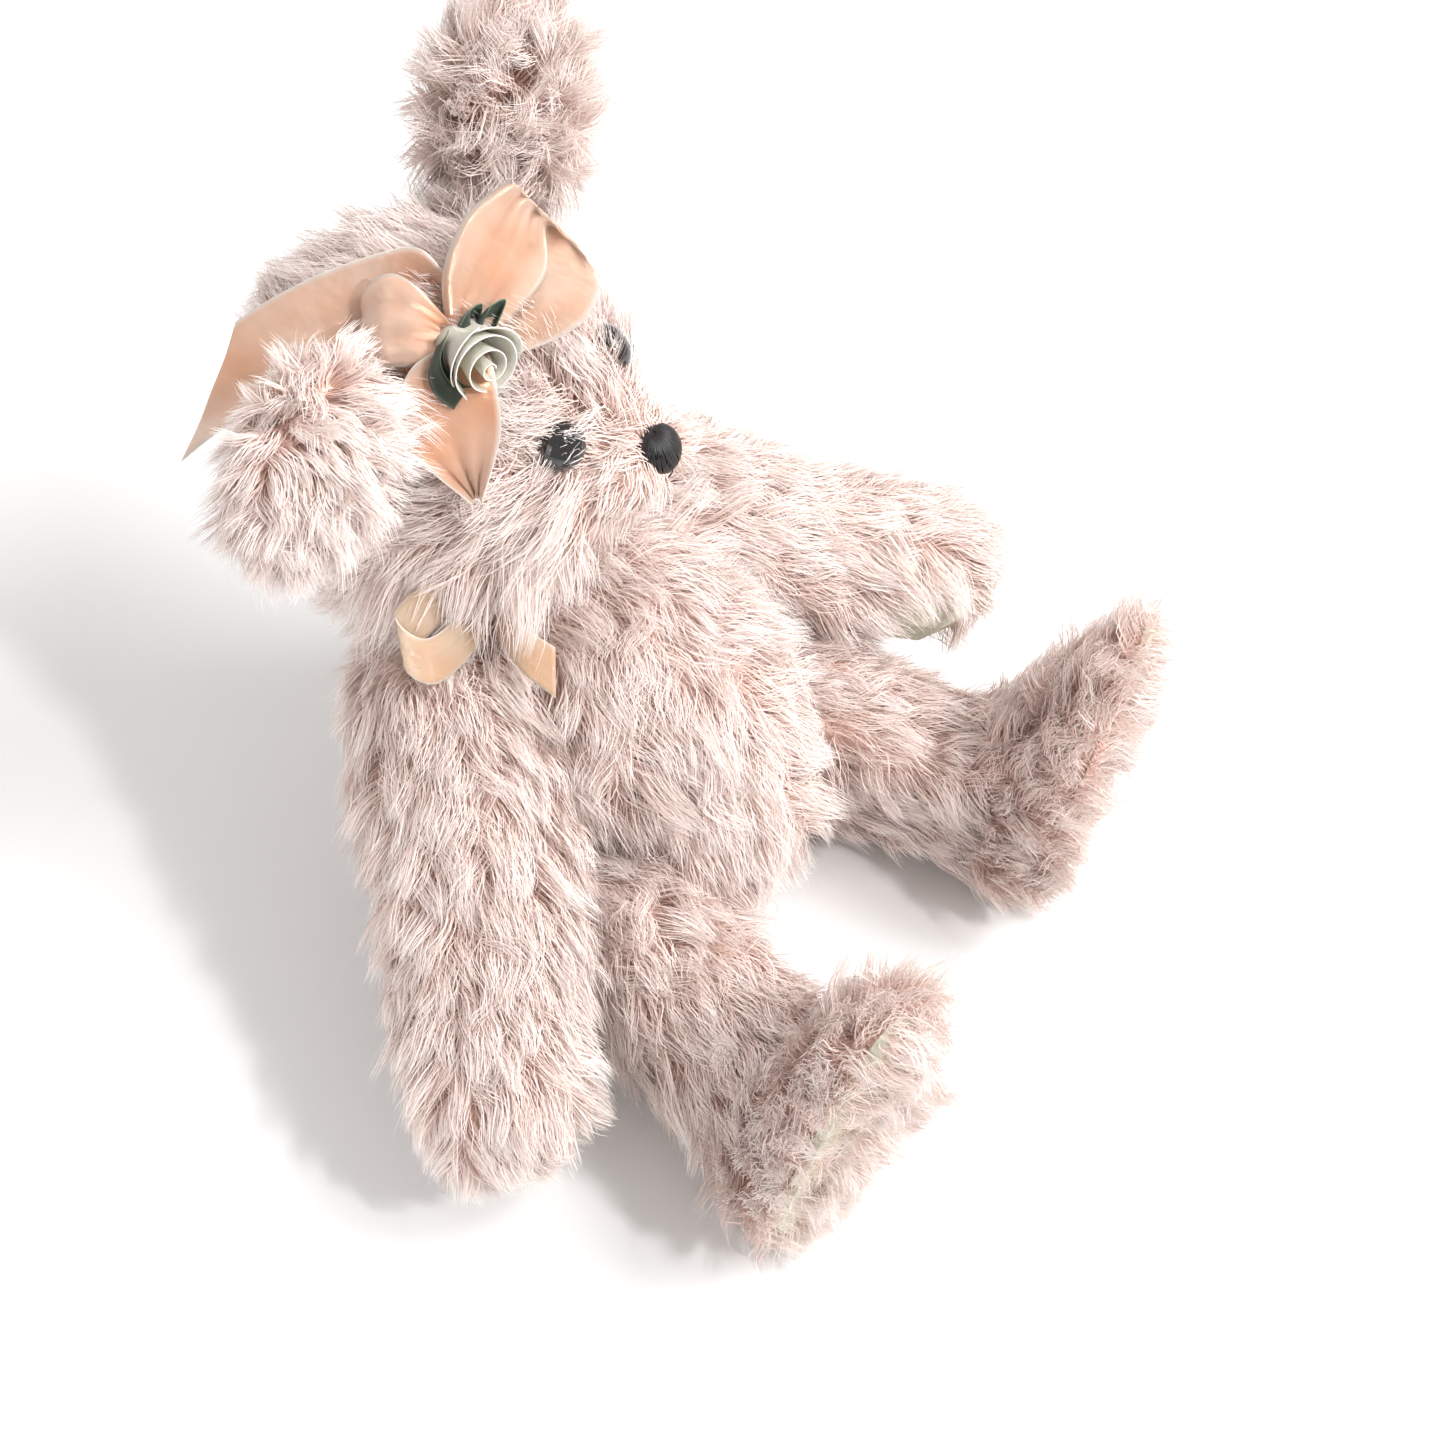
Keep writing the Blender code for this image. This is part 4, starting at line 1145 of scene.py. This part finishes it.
def finish_nodes():
    """Procedural finishes for the pieces that are shown as they are in the CAD."""
    for name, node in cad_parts.items():
        if name.endswith("_stuffing"):
            finish = STUFFING
        elif name.endswith("_disc"):
            finish = HARDBOARD
        elif name.endswith(("_washer", "_pin")):
            finish = STEEL
        elif "_pad_" in name:
            finish = SUEDE
        else:
            continue
        node.data.materials.clear()
        node.data.materials.append(finish)


# ---------------------------------------------------------------- stage


def stage():
    """A pale floor and soft light."""
    mesh = bpy.data.meshes.new("floor")
    side = 6.0
    corners = [(-side, -side, 0), (side, -side, 0), (side, side, 0), (-side, side, 0)]
    mesh.from_pydata(corners, [], [(0, 1, 2, 3)])
    made, tree, shader = nodes_of("floor_paper")
    tone = ramp(tree, noise(tree, 3.0), [(0.0, (0.93, 0.93, 0.93)), (1.0, (0.95, 0.95, 0.95))])
    tree.links.new(tone, shader.inputs["Base Color"])
    shader.inputs["Roughness"].default_value = 0.9
    mesh.materials.append(made)
    floor = bpy.data.objects.new("floor", mesh)
    floor.location = (0, 0, -0.0005)
    bpy.context.scene.collection.objects.link(floor)
    world = bpy.data.worlds.new("studio")
    world.use_nodes = True
    world.node_tree.nodes["Background"].inputs["Color"].default_value = (1.0, 0.99, 0.98, 1.0)
    world.node_tree.nodes["Background"].inputs["Strength"].default_value = 0.58
    bpy.context.scene.world = world
    lamps = (
        ("key", (0.35, -0.45, 0.95), 9.5, 0.55),
        ("warm_fill", (-0.9, 0.15, 0.35), 1.6, 0.6),
        ("rim", (0.3, 0.9, 0.8), 2.5, 0.6),
        ("sparkle", (-0.05, -0.55, 0.75), 3.0, 0.07),
    )
    for name, place, power, size in lamps:
        data = bpy.data.lights.new(name, "AREA")
        data.energy = power
        data.size = size
        lamp = bpy.data.objects.new(name, data)
        lamp.location = place
        aim = Vector((0.0, 0.02, 0.07)) - Vector(place)
        lamp.rotation_euler = aim.to_track_quat("-Z", "Y").to_euler()
        bpy.context.scene.collection.objects.link(lamp)


def camera():
    a = math.radians(CAMERA_AZIMUTH)
    e = math.radians(CAMERA_ELEVATION)
    r = math.radians(CAMERA_ROLL)
    back = Vector((math.sin(a) * math.cos(e), -math.cos(a) * math.cos(e), math.sin(e)))
    level = Vector((math.cos(a), math.sin(a), 0.0))
    up = back.cross(level)
    right = level * math.cos(r) + up * math.sin(r)
    up = back.cross(right)
    data = bpy.data.cameras.new("camera")
    data.sensor_width = 36.0
    data.lens = CAMERA_LENS
    data.clip_start = 0.01
    made = bpy.data.objects.new("camera", data)
    rotation = Matrix((right, up, back)).transposed()
    made.matrix_world = Matrix.Translation(CAMERA_PLACE) @ rotation.to_4x4()
    bpy.context.scene.collection.objects.link(made)
    bpy.context.scene.camera = made


grow_bear()
eyes()
nose()
hair_bow()
rosebud()
neck_ribbon()
finish_nodes()
stage()
camera()
bpy.context.scene.view_settings.view_transform = "Standard"
bpy.context.view_layer.update()
